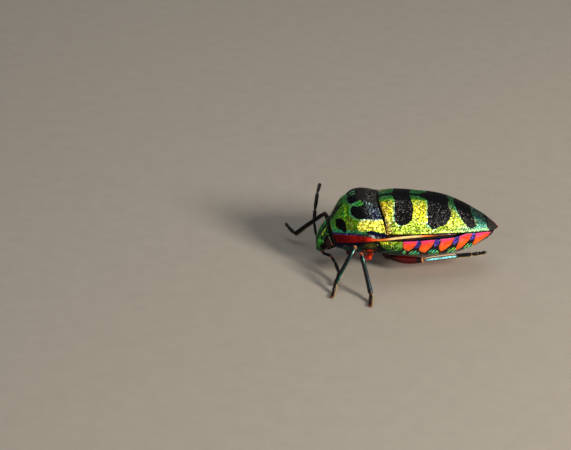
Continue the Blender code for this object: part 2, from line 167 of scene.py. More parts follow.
GOLD_PATCH = [(-5.5, 4.1), (-5, 3.85), (-4, 3.78), (-3.2, 3.65), (-2.2, 3.6), (-2.2, 5.15), (-3.3, 5.08),
              (-4.6, 5.12), (-5.3, 5.2), (-5.6, 4.7)]
HUMERAL_DARK = [(-4.7, 5.2), (-4, 5.02), (-3.3, 5.15), (-2.2, 5.2), (-2.2, 5.7), (-3.6, 5.55), (-4.6, 5.42)]
BAR_1 = [(-1.9, -0.5), (-1.8, 0.4), (-1.62, 1), (-1.56, 1.6), (-1.62, 2.5), (-1.63, 3.7), (-1.5, 4.15),
         (-1.15, 4.38), (-0.75, 4.45), (-0.3, 4.3), (0.1, 4), (0.35, 3.6), (0.42, 3.1), (0.5, 2.4),
         (0.45, 1.6), (0.3, 0.95), (0.2, 0.3), (0.1, -0.5)]
BAR_2 = [(1.2, -0.5), (1.45, 0.45), (2, 0.9), (2.1, 1.5), (2.05, 2.6), (2.08, 3.4), (2.05, 4.1), (2.4, 4.35),
         (2.85, 4.5), (3.3, 4.2), (3.9, 3.85), (4.38, 3.3), (4.68, 2.6), (4.72, 2), (4.52, 1.3), (4.45, 0.7),
         (4.55, -0.5)]
BAR_3 = [(5.2, -0.5), (5.15, 0.5), (5.28, 1.15), (5.5, 1.75), (5.85, 2.3), (6.2, 2.72), (6.65, 2.93),
         (7.1, 2.76), (7.5, 2.42), (7.6, 2), (7.45, 1.55), (7.2, 0.95), (7.1, 0.4), (7.05, -0.5)]
TAIL_SPOT = [(8.65, -0.5), (8.75, 0.5), (8.9, 1), (9.05, 1.6), (10.6, 1.7), (10.6, -0.5)]
METAPLEURON = [(-3.15, -0.3), (-0.5, -0.3), (-0.5, 1), (-0.9, 1.35), (-1.5, 1.5), (-2.1, 1.35), (-2.65, 0.9),
               (-3.05, 0.45)]
BAND_TOP = Curve((-8.9, 1.7), (-8.2, 3.05), (-7.2, 4.6), (-6.35, 5.32), (-5.45, 5.7), (-4.55, 5.84),
                 (-3.95, 5.9), (-2.3, 5.95))
BEAD_Z = Curve((-4.1, 5.3), (-2.2, 5.53), (-0.4, 5.7), (1.4, 5.74), (3.5, 5.66), (5.6, 5.5))
# Sutures of the belly, as x at the rim, and the red blotches between them.
SUTURES = (-0.62, 1.42, 3.58, 5.74, 7.62, 9.25)
SUTURE_LEAN = -0.1
BLOTCHES = [
    [(-0.62, -0.4), (-0.62, 0.5), (-0.45, 1), (0, 1.42), (0.3, 1.15), (0.62, 0.75), (0.88, 0.3),
     (0.92, -0.4)],
    [(1.47, -0.4), (1.42, 0.5), (1.22, 0.95), (1.3, 1.4), (1.85, 1.88), (2.25, 1.38), (2.6, 0.85),
     (2.84, 0.3), (2.88, -0.4)],
    [(3.68, -0.4), (3.6, 0.5), (3.46, 1), (3.5, 1.45), (3.82, 1.92), (4.3, 1.4), (4.8, 0.85), (5.04, 0.3),
     (5.1, -0.4)],
    [(5.8, -0.4), (5.7, 0.5), (5.55, 1), (5.4, 1.6), (5.5, 2.2), (6.1, 1.75), (6.65, 1.1), (7.02, 0.5),
     (7.14, -0.4)],
    [(7.7, -0.4), (7.6, 0.4), (7.45, 0.9), (7.35, 1.5), (7.45, 2.05), (8, 1.55), (8.6, 0.95), (9.15, 0.4),
     (9.3, -0.4)]]

HUMERAL_HOOK = 0.13         # how far the hind corners of the pronotum reach back
HEAD_SPAN = 5.5             # length of the head's skin from neck to nose
LIP = 0.04                  # a plate's upper skin starts this far above its edge line
CLEAR = 0.02                # what hairs keep off the floor
TABLE = 64                  # places a side in a table of random values, before it repeats
FAR = 99.0                  # further than any distance on the bug
UP = np.array((0, 0, 1.0))
DOWN = -UP

shield_low, shield_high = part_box("scutellum")
SHIFT = np.array((shield_high.x - TAIL_X * MM, (shield_low.y + shield_high.y) / 2, 0))


shield_low, shield_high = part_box("scutellum")
SHIFT = np.array((shield_high.x - TAIL_X * MM, (shield_low.y + shield_high.y) / 2, 0))


# ---------------------------------------------------------------- patterns and colours

def ease(value, low, high):
    """0 below low, 1 above high, and smooth between."""
    t = np.clip((value - low) / (high - low), 0, 1)
    return t * t * (3 - 2 * t)


def bump(value, centre, width):
    return np.exp(-((value - centre) / width) ** 2)


def swell(across, roundness):
    return np.maximum(0.0, 1.0 - np.abs(across) ** roundness) ** (1.0 / roundness)


def fine(count):
    return max(6, int(count * FINE))


def unit(vectors):
    return vectors / np.maximum(np.linalg.norm(vectors, axis=-1, keepdims=True), 1e-12)


def colour(code):
    """Linear red, green and blue of a hexadecimal code; numbers are passed on as they are."""
    if not isinstance(code, str):
        return code
    share = np.array([int(code[i:i + 2], 16) for i in (0, 2, 4)]) / 255
    return np.where(share < 0.04045, share / 12.92, ((share + 0.055) / 1.055) ** 2.4)


def layered(base, *coats):
    """A base colour under coats of (colour, share)."""
    base = colour(base)
    for shade, share in coats:
        base = base + (colour(shade) - base) * np.asarray(share)[..., None]
    return base


def blend(a, b, share):
    return layered(a, (b, share))


def lumps(u, v, size, seed):
    """Smooth irregular bumps from -1 to 1, about size across."""
    table = np.random.default_rng(seed).uniform(-1, 1, (TABLE, TABLE))
    u, v = u / size, v / size
    i, j = np.floor(u).astype(int), np.floor(v).astype(int)
    s, t = ease(u - i, 0, 1), ease(v - j, 0, 1)
    i0, i1, j0, j1 = i % TABLE, (i + 1) % TABLE, j % TABLE, (j + 1) % TABLE
    return ((table[i0, j0] * (1 - s) + table[i1, j0] * s) * (1 - t)
            + (table[i0, j1] * (1 - s) + table[i1, j1] * s) * t)


class Chart:
    """Places on a plate: x, the distance w from its midline or rim, and side, which is w with a sign."""

    def __init__(self, x, w, across):
        self.x, self.w, self.side = x, w, np.sign(across) * w

    def lumps(self, size, seed, low=None, high=None):
        """Irregular bumps from -1 to 1, or from 0 to 1 where low and high are given."""
        made = lumps(self.x, self.side, size, seed)
        return made if low is None else ease(made, low, high)

    def pits(self, spacing, seed, far, near):
        """Many scattered pits: 0 beyond the distance far from one, 1 within near."""
        table = np.random.default_rng(seed).uniform(0.12, 0.88, (TABLE, TABLE, 2))
        u, v = self.x / spacing, self.side / spacing
        i, j = np.floor(u).astype(int), np.floor(v).astype(int)
        nearest = np.full(u.shape, FAR)
        for a in (-1, 0, 1):
            for b in (-1, 0, 1):
                spot = table[(i + a) % TABLE, (j + b) % TABLE]
                gap = np.hypot(i + a + spot[..., 0] - u, j + b + spot[..., 1] - v)
                nearest = np.minimum(nearest, gap)
        return ease(nearest * spacing, far, near)

    def spot(self, x, wide, w, deep):
        return bump(self.x, x, wide) * bump(self.w, w, deep)

    def inside(self, outline):
        """How far each place lies inside a marking's outline; negative outside it."""
        x, w = self.x, self.w
        corners = rounded(outline)
        within = np.zeros(x.shape, bool)
        nearest = np.full(x.shape, FAR)
        for a, b in zip(corners, np.roll(corners, -1, 0)):
            edge = b - a
            t = np.clip(((x - a[0]) * edge[0] + (w - a[1]) * edge[1]) / (edge @ edge), 0, 1)
            nearest = np.minimum(nearest, np.hypot(x - a[0] - t * edge[0], w - a[1] - t * edge[1]))
            if a[1] != b[1]:
                within ^= ((a[1] > w) != (b[1] > w)) & (x < edge[0] * (w - a[1]) / edge[1] + a[0])
        return np.where(within, nearest, -nearest)


def rounded(outline, steps=5):
    """A closed outline with smooth turns through the given corners."""
    p = np.array(outline, float)
    before, after, second = np.roll(p, 1, 0), np.roll(p, -1, 0), np.roll(p, -2, 0)
    made = [0.5 * (2 * p + (after - before) * t + (2 * before - 5 * p + 4 * after - second) * t ** 2
                   + (3 * p - before - 3 * after + second) * t ** 3) for t in np.arange(steps) / steps]
    return np.stack(made, 1).reshape(-1, 2)


# ---------------------------------------------------------------- shapes

def facing(grid, wrap):
    """Unit normals of a grid of points, by the right-hand rule from rows to columns."""
    over = np.roll(grid, -1, 1) - np.roll(grid, 1, 1) if wrap else np.gradient(grid, axis=1)
    return unit(np.cross(np.gradient(grid, axis=0), over))


def grid_faces(rows, columns, flip=False):
    """Faces between the rows of a grid whose last column joins its first."""
    i = np.arange(rows - 1)[:, None] * columns
    j = np.arange(columns)[None, :]
    k = (j + 1) % columns
    order = (i + j, i + columns + j, i + columns + k, i + k)
    return np.stack(order[::-1] if flip else order, -1).reshape(-1, 4)


def piece(name, points, faces, paint, stands_for=(), fields=None, patches=None):
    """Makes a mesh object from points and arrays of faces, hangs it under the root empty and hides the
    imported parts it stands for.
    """
    mesh = bpy.data.meshes.new(name)
    mesh.vertices.add(len(points))
    mesh.vertices.foreach_set("co", (points * MM + SHIFT).ravel())
    corners = np.concatenate([f.ravel() for f in faces])
    sizes = np.concatenate([np.full(len(f), f.shape[1]) for f in faces])
    mesh.loops.add(len(corners))
    mesh.loops.foreach_set("vertex_index", corners)
    mesh.polygons.add(len(sizes))
    mesh.polygons.foreach_set("loop_start", np.concatenate([[0], np.cumsum(sizes)[:-1]]))
    for field, values in (fields or {}).items():
        if values.ndim > 1:
            layer = mesh.attributes.new(field, "FLOAT_COLOR", "POINT")
            layer.data.foreach_set("color", np.c_[values, np.ones(len(values))].ravel())
        else:
            mesh.attributes.new(field, "FLOAT", "POINT").data.foreach_set("value", values)
    if patches is not None:
        mesh.uv_layers.new(name="OFBake").data.foreach_set("uv", patches[corners].ravel())
    mesh.update(calc_edges=True)
    mesh.shade_smooth()
    mesh.materials.append(paint)
    made = bpy.data.objects.new(name, mesh)
    bpy.context.scene.collection.objects.link(made)
    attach(made, "root")
    if stands_for:
        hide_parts(*stands_for)


def spread(key, value, grid):
    """A field over a grid of points, from a value or colour that may be the same all over it."""
    value = colour(value)
    return np.broadcast_to(value, grid.shape[:2] + ((3,) if key in ("tint", "dark") else ()))


def plate(name, upper, lower, paint, node, above=None, below=None):
    """A closed plate from grids of its upper and lower points, with their fields.

    Both ends fold onto the line halfway between the upper and the lower points.
    """
    above, below = above or HIDDEN_SIDE, below or HIDDEN_SIDE
    ring = np.concatenate([upper, lower[:, ::-1]], axis=1)
    ends = []
    for end in (0, -1):
        shut = ring[end].copy()
        for axis in (0, 2):
            shut[:, axis] = sum(np.interp(shut[:, 1], row[:, 1], row[:, axis])
                                for row in (upper[end], lower[end])) / 2
        ends.append(shut[None])
    points = np.concatenate([ends[0], ring, ends[1]])
    fields = {}
    for key in above:
        sides = spread(key, above[key], upper), spread(key, below[key], lower)[:, ::-1]
        whole = np.concatenate(sides, axis=1)
        fields[key] = np.concatenate([whole[:1], whole, whole[-1:]]).reshape(-1, *whole.shape[2:])
    faces = [grid_faces(*points.shape[:2])]
    piece(name, points.reshape(-1, 3), faces, paint, [node], fields)


def tube(name, rings, paint, slot, stands_for=(), **fields):
    """A closed tube from rings of points, with a pole at each end. Its fields lie on the rings."""
    rows, sides = rings.shape[:2]
    i = np.arange(sides)
    j = (i + 1) % sides
    pole, last = rows * sides, (rows - 1) * sides
    near = np.stack([np.full(sides, pole), i, j], -1)
    far = np.stack([np.full(sides, pole + 1), last + j, last + i], -1)

    def with_poles(values):
        flat = values.reshape(-1, *values.shape[2:])
        return np.concatenate([flat, values[0].mean(0)[None], values[-1].mean(0)[None]])
    fields = {key: with_poles(spread(key, value, rings)) for key, value in fields.items()}
    piece(name, with_poles(rings), [grid_faces(rows, sides), near, far], paint, stands_for, fields)


def round_tip(grids, share, length, middle_line):
    """Draws the last rows of some grids, length of the whole, in to a rounded tip."""
    shrink = np.sqrt(np.clip(1 - np.clip((share - (1 - length)) / length, 0, 1) ** 2, 0.0004, 1))
    for grid in grids:
        middle = middle_line(grid[..., 0])
        grid[..., 1] *= shrink
        grid[..., 2] = middle + (grid[..., 2] - middle) * shrink


def way_along(points):
    """The share of a path's whole length at each of its points, and that length."""
    gone = np.concatenate([[0], np.cumsum(np.linalg.norm(np.diff(points, axis=0), axis=1))])
    return gone, gone[-1]


def smooth_path(points, count):
    """A curve through points, with count points evenly spread by the corners' spacing."""
    p = np.array(points, float)
    at, length = way_along(p)
    share = np.linspace(0, length, count)
    return np.stack([Curve(*zip(at, p[:, k]))(share) for k in range(3)], -1)


def directions(path):
    """Unit vectors ahead, to the side and up, at each point of a path."""
    steep = abs(unit(path[-1] - path[0])[2]) >= 0.93
    heading = unit(np.gradient(path, axis=0))
    side = unit(np.cross(np.eye(3)[0 if steep else 2], heading))
    return heading, side, np.cross(heading, side)


def sweep(path, radii, sides):
    """Rings round a path: points, share along it, and the angle round it from its upper side."""
    _, side, rise = directions(path)
    turn = np.broadcast_to(2 * np.pi * np.arange(sides) / sides, (len(path), sides))
    radii = np.broadcast_to(np.asarray(radii, float).reshape(len(path), -1), turn.shape)
    rings = (path[:, None] + side[:, None] * (radii * np.sin(turn))[..., None]
             + rise[:, None] * (radii * np.cos(turn))[..., None])
    gone, length = way_along(path)
    return rings, np.broadcast_to((gone / length)[:, None], turn.shape), turn


def cap(share, length, round_start, round_end):
    """Shrinks a radius to nothing over the last bits of a limb, as a rounded end."""
    near = np.clip(share * length / round_start, 0, 1)
    far = np.clip((1 - share) * length / round_end, 0, 1)
    return np.sqrt(np.maximum(1e-4, 1 - (1 - near) ** 2)) * np.sqrt(np.maximum(1e-4, 1 - (1 - far) ** 2))


def limb(name, path, radii, sides, paint, slot, stands_for, shades):
    """A rounded segment along a path. shades gives tint, dark, ink and metal from share and angle."""
    rings, share, turn = sweep(path, radii, sides)
    tint, dark, ink, metal = shades(share, turn)
    tube(name, rings, paint, slot, stands_for, tint=tint, dark=dark, ink=ink, metal=metal)


def ball(centre, radii, rows, sides, low=-1.0, axis=1, sign=1.0):
    """Rings of a ball round an axis, from low (-1 is its far pole, 0 its equator) to its pole."""
    radii = np.broadcast_to(radii, 3)
    lift = np.linspace(low, 1, rows)[:, None] * np.pi / 2
    turn = 2 * np.pi * np.arange(sides)[None, :] / sides
    first, second = (k for k in range(3) if k != axis)
    rings = np.empty((rows, sides, 3))
    rings[..., axis] = sign * radii[axis] * np.sin(lift)
    rings[..., first] = radii[first] * np.cos(lift) * np.cos(turn)
    rings[..., second] = radii[second] * np.cos(lift) * np.sin(turn) * sign * (1 if axis == 1 else -1)
    return rings + np.asarray(centre)


def bead_loop(name, path, radius, paint, sides=14):
    """A dark bead that runs round a closed loop of points."""
    heading = unit(np.roll(path, -1, 0) - np.roll(path, 1, 0))
    outward = unit(path - path.mean(0))
    lift = np.cross(heading, outward)
    turn = 2 * np.pi * np.arange(sides)[None, :, None] / sides
    rings = path[:, None] + outward[:, None] * radius * np.cos(turn) + lift[:, None] * radius * np.sin(turn)
    points = rings.reshape(-1, 3)
    faces = np.roll(grid_faces(len(path) + 1, sides, flip=True) % len(points), 1, -1)
    shades = {"tint": "2A0C08", "dark": BLACK, "ink": -0.5, "metal": 0.0}
    fields = {key: spread(key, value, rings).reshape(len(points), -1).squeeze()
              for key, value in shades.items()}
    piece(name, points, [faces], paint, fields=fields)


# ---------------------------------------------------------------- hairs

def tuft(path, radii, count, seed, lean, lengths, near=None, first=0.04, last=0.98, uneven=False):
    """Roots, directions and lengths of hairs over a limb.

    near keeps them close to an angle round the limb, and is that angle and how far they stray.
    """
    rng = np.random.default_rng(seed)
    heading, side, rise = directions(path)
    at = rng.uniform(first, last, count) * (len(path) - 1)
    i = np.clip(at.astype(int), 0, len(path) - 2)
    t = (at - i)[:, None]
    turn = rng.uniform(0, 2 * np.pi, count) if near is None else rng.normal(*near, count)
    out = side[i] * np.sin(turn)[:, None] + rise[i] * np.cos(turn)[:, None]
    roots = path[i] * (1 - t) + path[i + 1] * t + out * radii[i][:, None] * 0.96
    ways = unit(out + heading[i] * lean + rng.normal(0, 0.12, (count, 3)))
    long = rng.uniform(*lengths, count)
    return roots, ways, long * (0.6 + 0.6 * rng.random(count)) if uneven else long


def bristles(name, tufts, thickness, paint, bend=0.0, sides=3):
    """Many fine hairs as one mesh; each hair's patch of the bake map is at its root's place."""
    roots, ways, lengths = (np.concatenate(k) for k in zip(*tufts))
    lowest = roots[:, 2] + ways[:, 2] * lengths
    lengths = np.where(lowest < CLEAR, np.maximum(roots[:, 2] - CLEAR, CLEAR / 2), lengths)
    axis = unit(ways)
    side = unit(np.cross(axis, np.array((0.31, 0.52, 0.79))))
    rise = np.cross(axis, side)
    rows = np.array([0.0, 0.45, 0.8, 1.0])
    turn = 2 * np.pi * np.arange(sides) / sides
    rings = []
    for t in rows:
        centre = roots + axis * (lengths * t)[:, None] + DOWN * (bend * lengths * t ** 2)[:, None]
        rings.append(centre[:, None] + (side[:, None] * np.cos(turn)[None, :, None]
                                        + rise[:, None] * np.sin(turn)[None, :, None])
                     * (thickness * (1 - 0.92 * t)))
    one = grid_faces(len(rows), sides, flip=True)
    faces = (one[None] + len(rows) * sides * np.arange(len(roots))[:, None, None]).reshape(-1, 4)
    low, high = roots.min(0), roots.max(0)
    share = (roots - low) / np.maximum(high - low, 1e-6)
    base = np.stack([share[:, 0] * 0.9 + 0.05, (share[:, 1] + share[:, 2]) / 2 * 0.9 + 0.05], -1)
    grain = np.stack([np.tile(np.cos(turn), len(rows)), np.tile(np.sin(turn), len(rows))], -1) * 0.0015
    piece(name, np.stack(rings, 1).reshape(-1, 3), [faces], paint,
          patches=(base[:, None] + grain[None]).reshape(-1, 2))


# ---------------------------------------------------------------- paints

class Paint:
    """A procedural material, built one node at a time. Textures are laid out in millimetres."""

    def __init__(self, name, **settings):
        self.material = bpy.data.materials.new(name)
        self.material.use_nodes = True
        self.tree = self.material.node_tree
        self.where = None
        for socket, value in settings.items():
            self.set(socket.replace("_", " "), value)

    def feed(self, socket, value):
        """Links a socket to another node's output, or sets the socket's own value."""
        if isinstance(value, bpy.types.NodeSocket):
            self.tree.links.new(value, socket)
        else:
            socket.default_value = (*colour(value), 1.0) if isinstance(value, str) else value

    def set(self, socket, value):
        self.feed(self.tree.nodes["Principled BSDF"].inputs[socket], value)

    def node(self, kind, inputs, output=0, **settings):
        """Adds a node and gives one of its outputs."""
        made = self.tree.nodes.new("ShaderNode" + kind)
        for key, value in settings.items():
            setattr(made, key, value)
        for key, value in inputs.items():
            self.feed(made.inputs[key], value)
        return made.outputs[output]

    def vector(self, operation, inputs):
        return self.node("VectorMath", inputs, operation=operation)

    def field(self, name, output="Fac"):
        return self.node("Attribute", {}, output, attribute_name=name)

    def spot(self):
        """The surface point in millimetres."""
        if self.where is None:
            self.where = self.vector("SCALE", {0: self.node("TexCoord", {}, "Object"), "Scale": 1 / MM})
        return self.where

    def calc(self, operation, a, b):
        return self.node("Math", {0: a, 1: b}, operation=operation)

    def times(self, a, b):
        return self.calc("MULTIPLY", a, b)

    def ramp(self, value, low, high, to_low=0.0, to_high=1.0):
        return self.node("MapRange", {"Value": value, "From Min": low, "From Max": high,
                                      "To Min": to_low, "To Max": to_high}, interpolation_type="SMOOTHSTEP")

    def mix(self, share, a, b, way="MIX"):
        return self.node("Mix", {0: share, 6: a, 7: b}, 2, data_type="RGBA", blend_type=way)

    def noise(self, per_mm, detail=3.0, rough=0.5):
        return self.node("TexNoise", {"Vector": self.spot(), "Scale": per_mm, "Detail": detail,
                                      "Roughness": rough})

    def cells(self, per_mm, output="Distance", jitter=1.0):
        return self.node("TexVoronoi", {"Vector": self.spot(), "Scale": per_mm, "Randomness": jitter}, output)

    def part(self, cell_colour, channel):
        return self.node("SeparateColor", {0: cell_colour}, channel)

    def facets(self, per_mm, tilt):
        """Normals of small flat grains, each turned its own way."""
        way = self.vector("SUBTRACT", {0: self.cells(per_mm, "Color"), 1: (0.5, 0.5, 0.5)})
        turned = self.vector("SCALE", {0: way, "Scale": 2 * tilt})
        plain = self.node("NewGeometry", {}, "Normal")
        return self.vector("NORMALIZE", {0: self.vector("ADD", {0: plain, 1: turned})})

    def relief(self, height, depth, over=None):
        inputs = {"Height": height, "Strength": 1.0, "Distance": depth * MM}
        return self.node("Bump", inputs if over is None else {**inputs, "Normal": over})

    def markings(self, per_mm, waver):
        """1 in the dark markings, where the ink field is above 0, with an uneven edge."""
        ink = self.field("ink")
        wave = self.times(self.calc("SUBTRACT", self.noise(per_mm), 0.5), waver)
        return self.ramp(self.calc("ADD", ink, wave), -0.02, 0.02)


GRAINS = 8.2                # grains of the metallic cuticle to a millimetre
FINE_GRAINS = 1.5 * GRAINS


def jewel_paint():
    """Metallic cuticle: grains that each catch the light their own way, painted pale glints on some grains,
    painted shade in the pits, and black markings with painted pale glint specks.
    """
    p = Paint("jewel_cuticle", Coat_Weight=0.03, Coat_Roughness=0.25, Specular_IOR_Level=0.05)
    cell = p.cells(GRAINS, "Color")
    shade, hue, glint = (p.part(cell, channel) for channel in range(3))
    grain = p.field("grain")
    tint = p.field("tint", "Color")
    fine_cell = p.cells(FINE_GRAINS, "Color")
    fine_hue, fine_glint = (p.part(fine_cell, channel) for channel in range(2))
    tint = p.mix(p.times(p.ramp(fine_hue, 0.26, 0.08, 0.0, 0.85), grain), tint, "B86A28", "MULTIPLY")
    # painted highlight: pale glints added on some of the fine grains
    tint = p.mix(p.times(p.ramp(fine_glint, 0.78, 0.96), grain), tint, "CCCAA4", "ADD")
    tint = p.mix(grain, tint, p.ramp(shade, 0.0, 1.0, 0.28, 1.62), "MULTIPLY")
    tint = p.mix(grain, tint, p.ramp(hue, 0.0, 1.0, 0.55, 1.36), "MULTIPLY")
    # painted shade: the colour darkens towards umber inside the pits
    pit_shaded = p.mix(p.times(p.field("pit"), 0.40), tint, UMBER)
    black = p.markings(6.0, 0.28)
    # painted highlight: pale glint specks on the black markings
    glint_speck = p.times(p.ramp(fine_glint, 0.88, 1.0, 0.0, 0.55), p.ramp(p.noise(1.1), 0.35, 0.65, 0.20, 1.0))
    dark = p.mix(p.times(glint_speck, p.ramp(grain, 0.5, 1.0)), p.field("dark", "Color"), "D2CCC2")
    p.set("Base Color", p.mix(black, pit_shaded, dark))
    p.set("Metallic", p.times(p.field("metal"), p.ramp(black, 0.0, 1.0, 1.0, 0.3)))
    p.set("Roughness", p.ramp(p.times(glint, grain), 0.0, 1.0, 0.42, 0.28))
    p.set("Normal", p.relief(p.noise(16.0, 2.0), 0.005, p.facets(GRAINS, 0.30)))
    return p.material


def enamel_paint(name, roughness, coat, grain_depth, tilt=0.0):
    """Smooth glossy cuticle, painted by its tint, dark and ink fields, with painted pale glints on its
    metallic dark parts.
    """
    p = Paint(name, Coat_Weight=coat, Coat_Roughness=0.14, Specular_IOR_Level=0.14)
    tint = p.mix(p.ramp(p.noise(2.2), 0.35, 0.75, 0.0, 0.25), p.field("tint", "Color"), UMBER)
    cell = p.cells(GRAINS, "Color")
    metal = p.field("metal")
    dark = p.field("dark", "Color")
    dark = p.mix(metal, dark, p.ramp(p.part(cell, 0), 0.0, 1.0, 0.15, 2.0), "MULTIPLY")
    # painted highlight: pale glints on the metallic dark parts
    glint = p.times(p.ramp(p.part(cell, 1), 0.75, 1.0), metal)
    dark = p.mix(p.times(glint, 0.45), dark, "B4C8C4")
    black = p.markings(3.5, 0.16)
    p.set("Base Color", p.mix(black, tint, dark))
    p.set("Metallic", p.times(metal, p.ramp(black, 0.0, 1.0, 0.0, 0.6)))
    p.set("Roughness", p.ramp(p.noise(5.0), 0.3, 0.7, roughness - 0.06, roughness + 0.08))
    p.set("Normal", p.relief(p.noise(11.0, 3.0), grain_depth, p.facets(GRAINS, tilt) if tilt else None))
    return p.material


def hair_paint(name, shade, tip):
    p = Paint(name, Roughness=0.5)
    p.set("Base Color", p.mix(p.ramp(p.noise(7.0), 0.3, 0.7), shade, tip))
    return p.material


def eye_paint():
    """Deep brown near black, partly the eye's own colour and partly painted shade, with a lattice of tiny
    lenses.
    """
    p = Paint("compound_eye", Coat_Weight=0.20, Coat_Roughness=0.08, Specular_IOR_Level=0.15)
    lens = p.cells(19.0, jitter=0.35)
    deep = p.mix(p.ramp(lens, 0.1, 0.6), "3E0E0C", "0C0306")
    p.set("Base Color", p.mix(p.ramp(p.noise(1.6), 0.35, 0.65, 0.0, 0.7), deep, "140610"))
    p.set("Roughness", p.ramp(lens, 0.0, 0.6, 0.16, 0.35))
    p.set("Normal", p.relief(p.times(lens, -1.0), 0.012))
    return p.material


def floor_paint():
    p = Paint("pale_floor", Roughness=0.75)
    p.set("Base Color", p.mix(p.noise(0.5, 6.0, 0.6), "988F83", "A59C90"))
    return p.material


# ---------------------------------------------------------------- plates of the back

class Dome:
    """A rounded surface between an edge line and a ridge line."""

    def __init__(self, half, edge, ridge, roundness):
        self.half, self.edge, self.ridge, self.roundness = half, edge, ridge, roundness

    def at(self, x, across):
        edge = self.edge(x)
        z = edge + LIP + (self.ridge(x) - edge) * swell(across, self.roundness)
        return np.stack(np.broadcast_arrays(x, self.half(x) * across, z), -1)

    def arc(self, x, across, steps=40):
        """Distance over the surface from the midline."""
        half, rise = self.half(x), self.ridge(x) - self.edge(x)
        turn = np.arcsin(np.clip(np.abs(across), 0, 1))
        total, y, z = 0.0, 0.0, rise
        for k in range(1, steps + 1):
            share = np.sin(turn * k / steps)
            next_y, next_z = half * share, rise * swell(share, self.roundness)
            total = total + np.hypot(next_y - y, next_z - z)
            y, z = next_y, next_z
        return total


COLLAR = Dome(PRONOTUM_HALF, PRONOTUM_EDGE, PRONOTUM_RIDGE, PRONOTUM_ROUND)
SHIELD = Dome(SHIELD_HALF, SHIELD_EDGE, SHIELD_RIDGE, SHIELD_ROUND)
BELLY = Dome(TRUNK_HALF, lambda x: -TRUNK_TOP(x) + LIP, lambda x: -TRUNK_KEEL(x), TRUNK_ROUND)
HIDDEN_SIDE = {"tint": BLACK, "dark": BLACK, "ink": 1.0, "metal": 0.0, "pit": 0.0, "grain": 0.0}


def along_body(rows):
    return np.linspace(0, 1, rows)[:, None]


def across_body(columns):
    return np.sin(np.linspace(-1, 1, columns) * np.pi / 2)[None, :]


def neck_x(height):
    return NECK_X + NECK_LEAN * (NECK_TOP - height)


def leaning_grid(surface, rows, across, last):
    """x and points of a surface from the leaning neck back to last."""
    share = along_body(rows)
    height = np.full((rows, across.shape[1]), NECK_TOP)
    for _ in range(8):
        x = neck_x(height) * (1 - share) + last * share
        points = surface(x, across)
        height = points[..., 2]
    return x, points


def edge_roll(distance, radius):
    """How far a margin drops as it rounds off towards its edge."""
    d = np.clip(distance, 0, radius)
    return radius - np.sqrt(radius ** 2 - (radius - d) ** 2)


def raised(grid, relief):
    return grid + facing(grid, False) * relief[..., None]


def hind_edge(across):
    return HUNCH_X - GAP + HUMERAL_SWEEP * across ** 2 + HUMERAL_HOOK * across ** 8


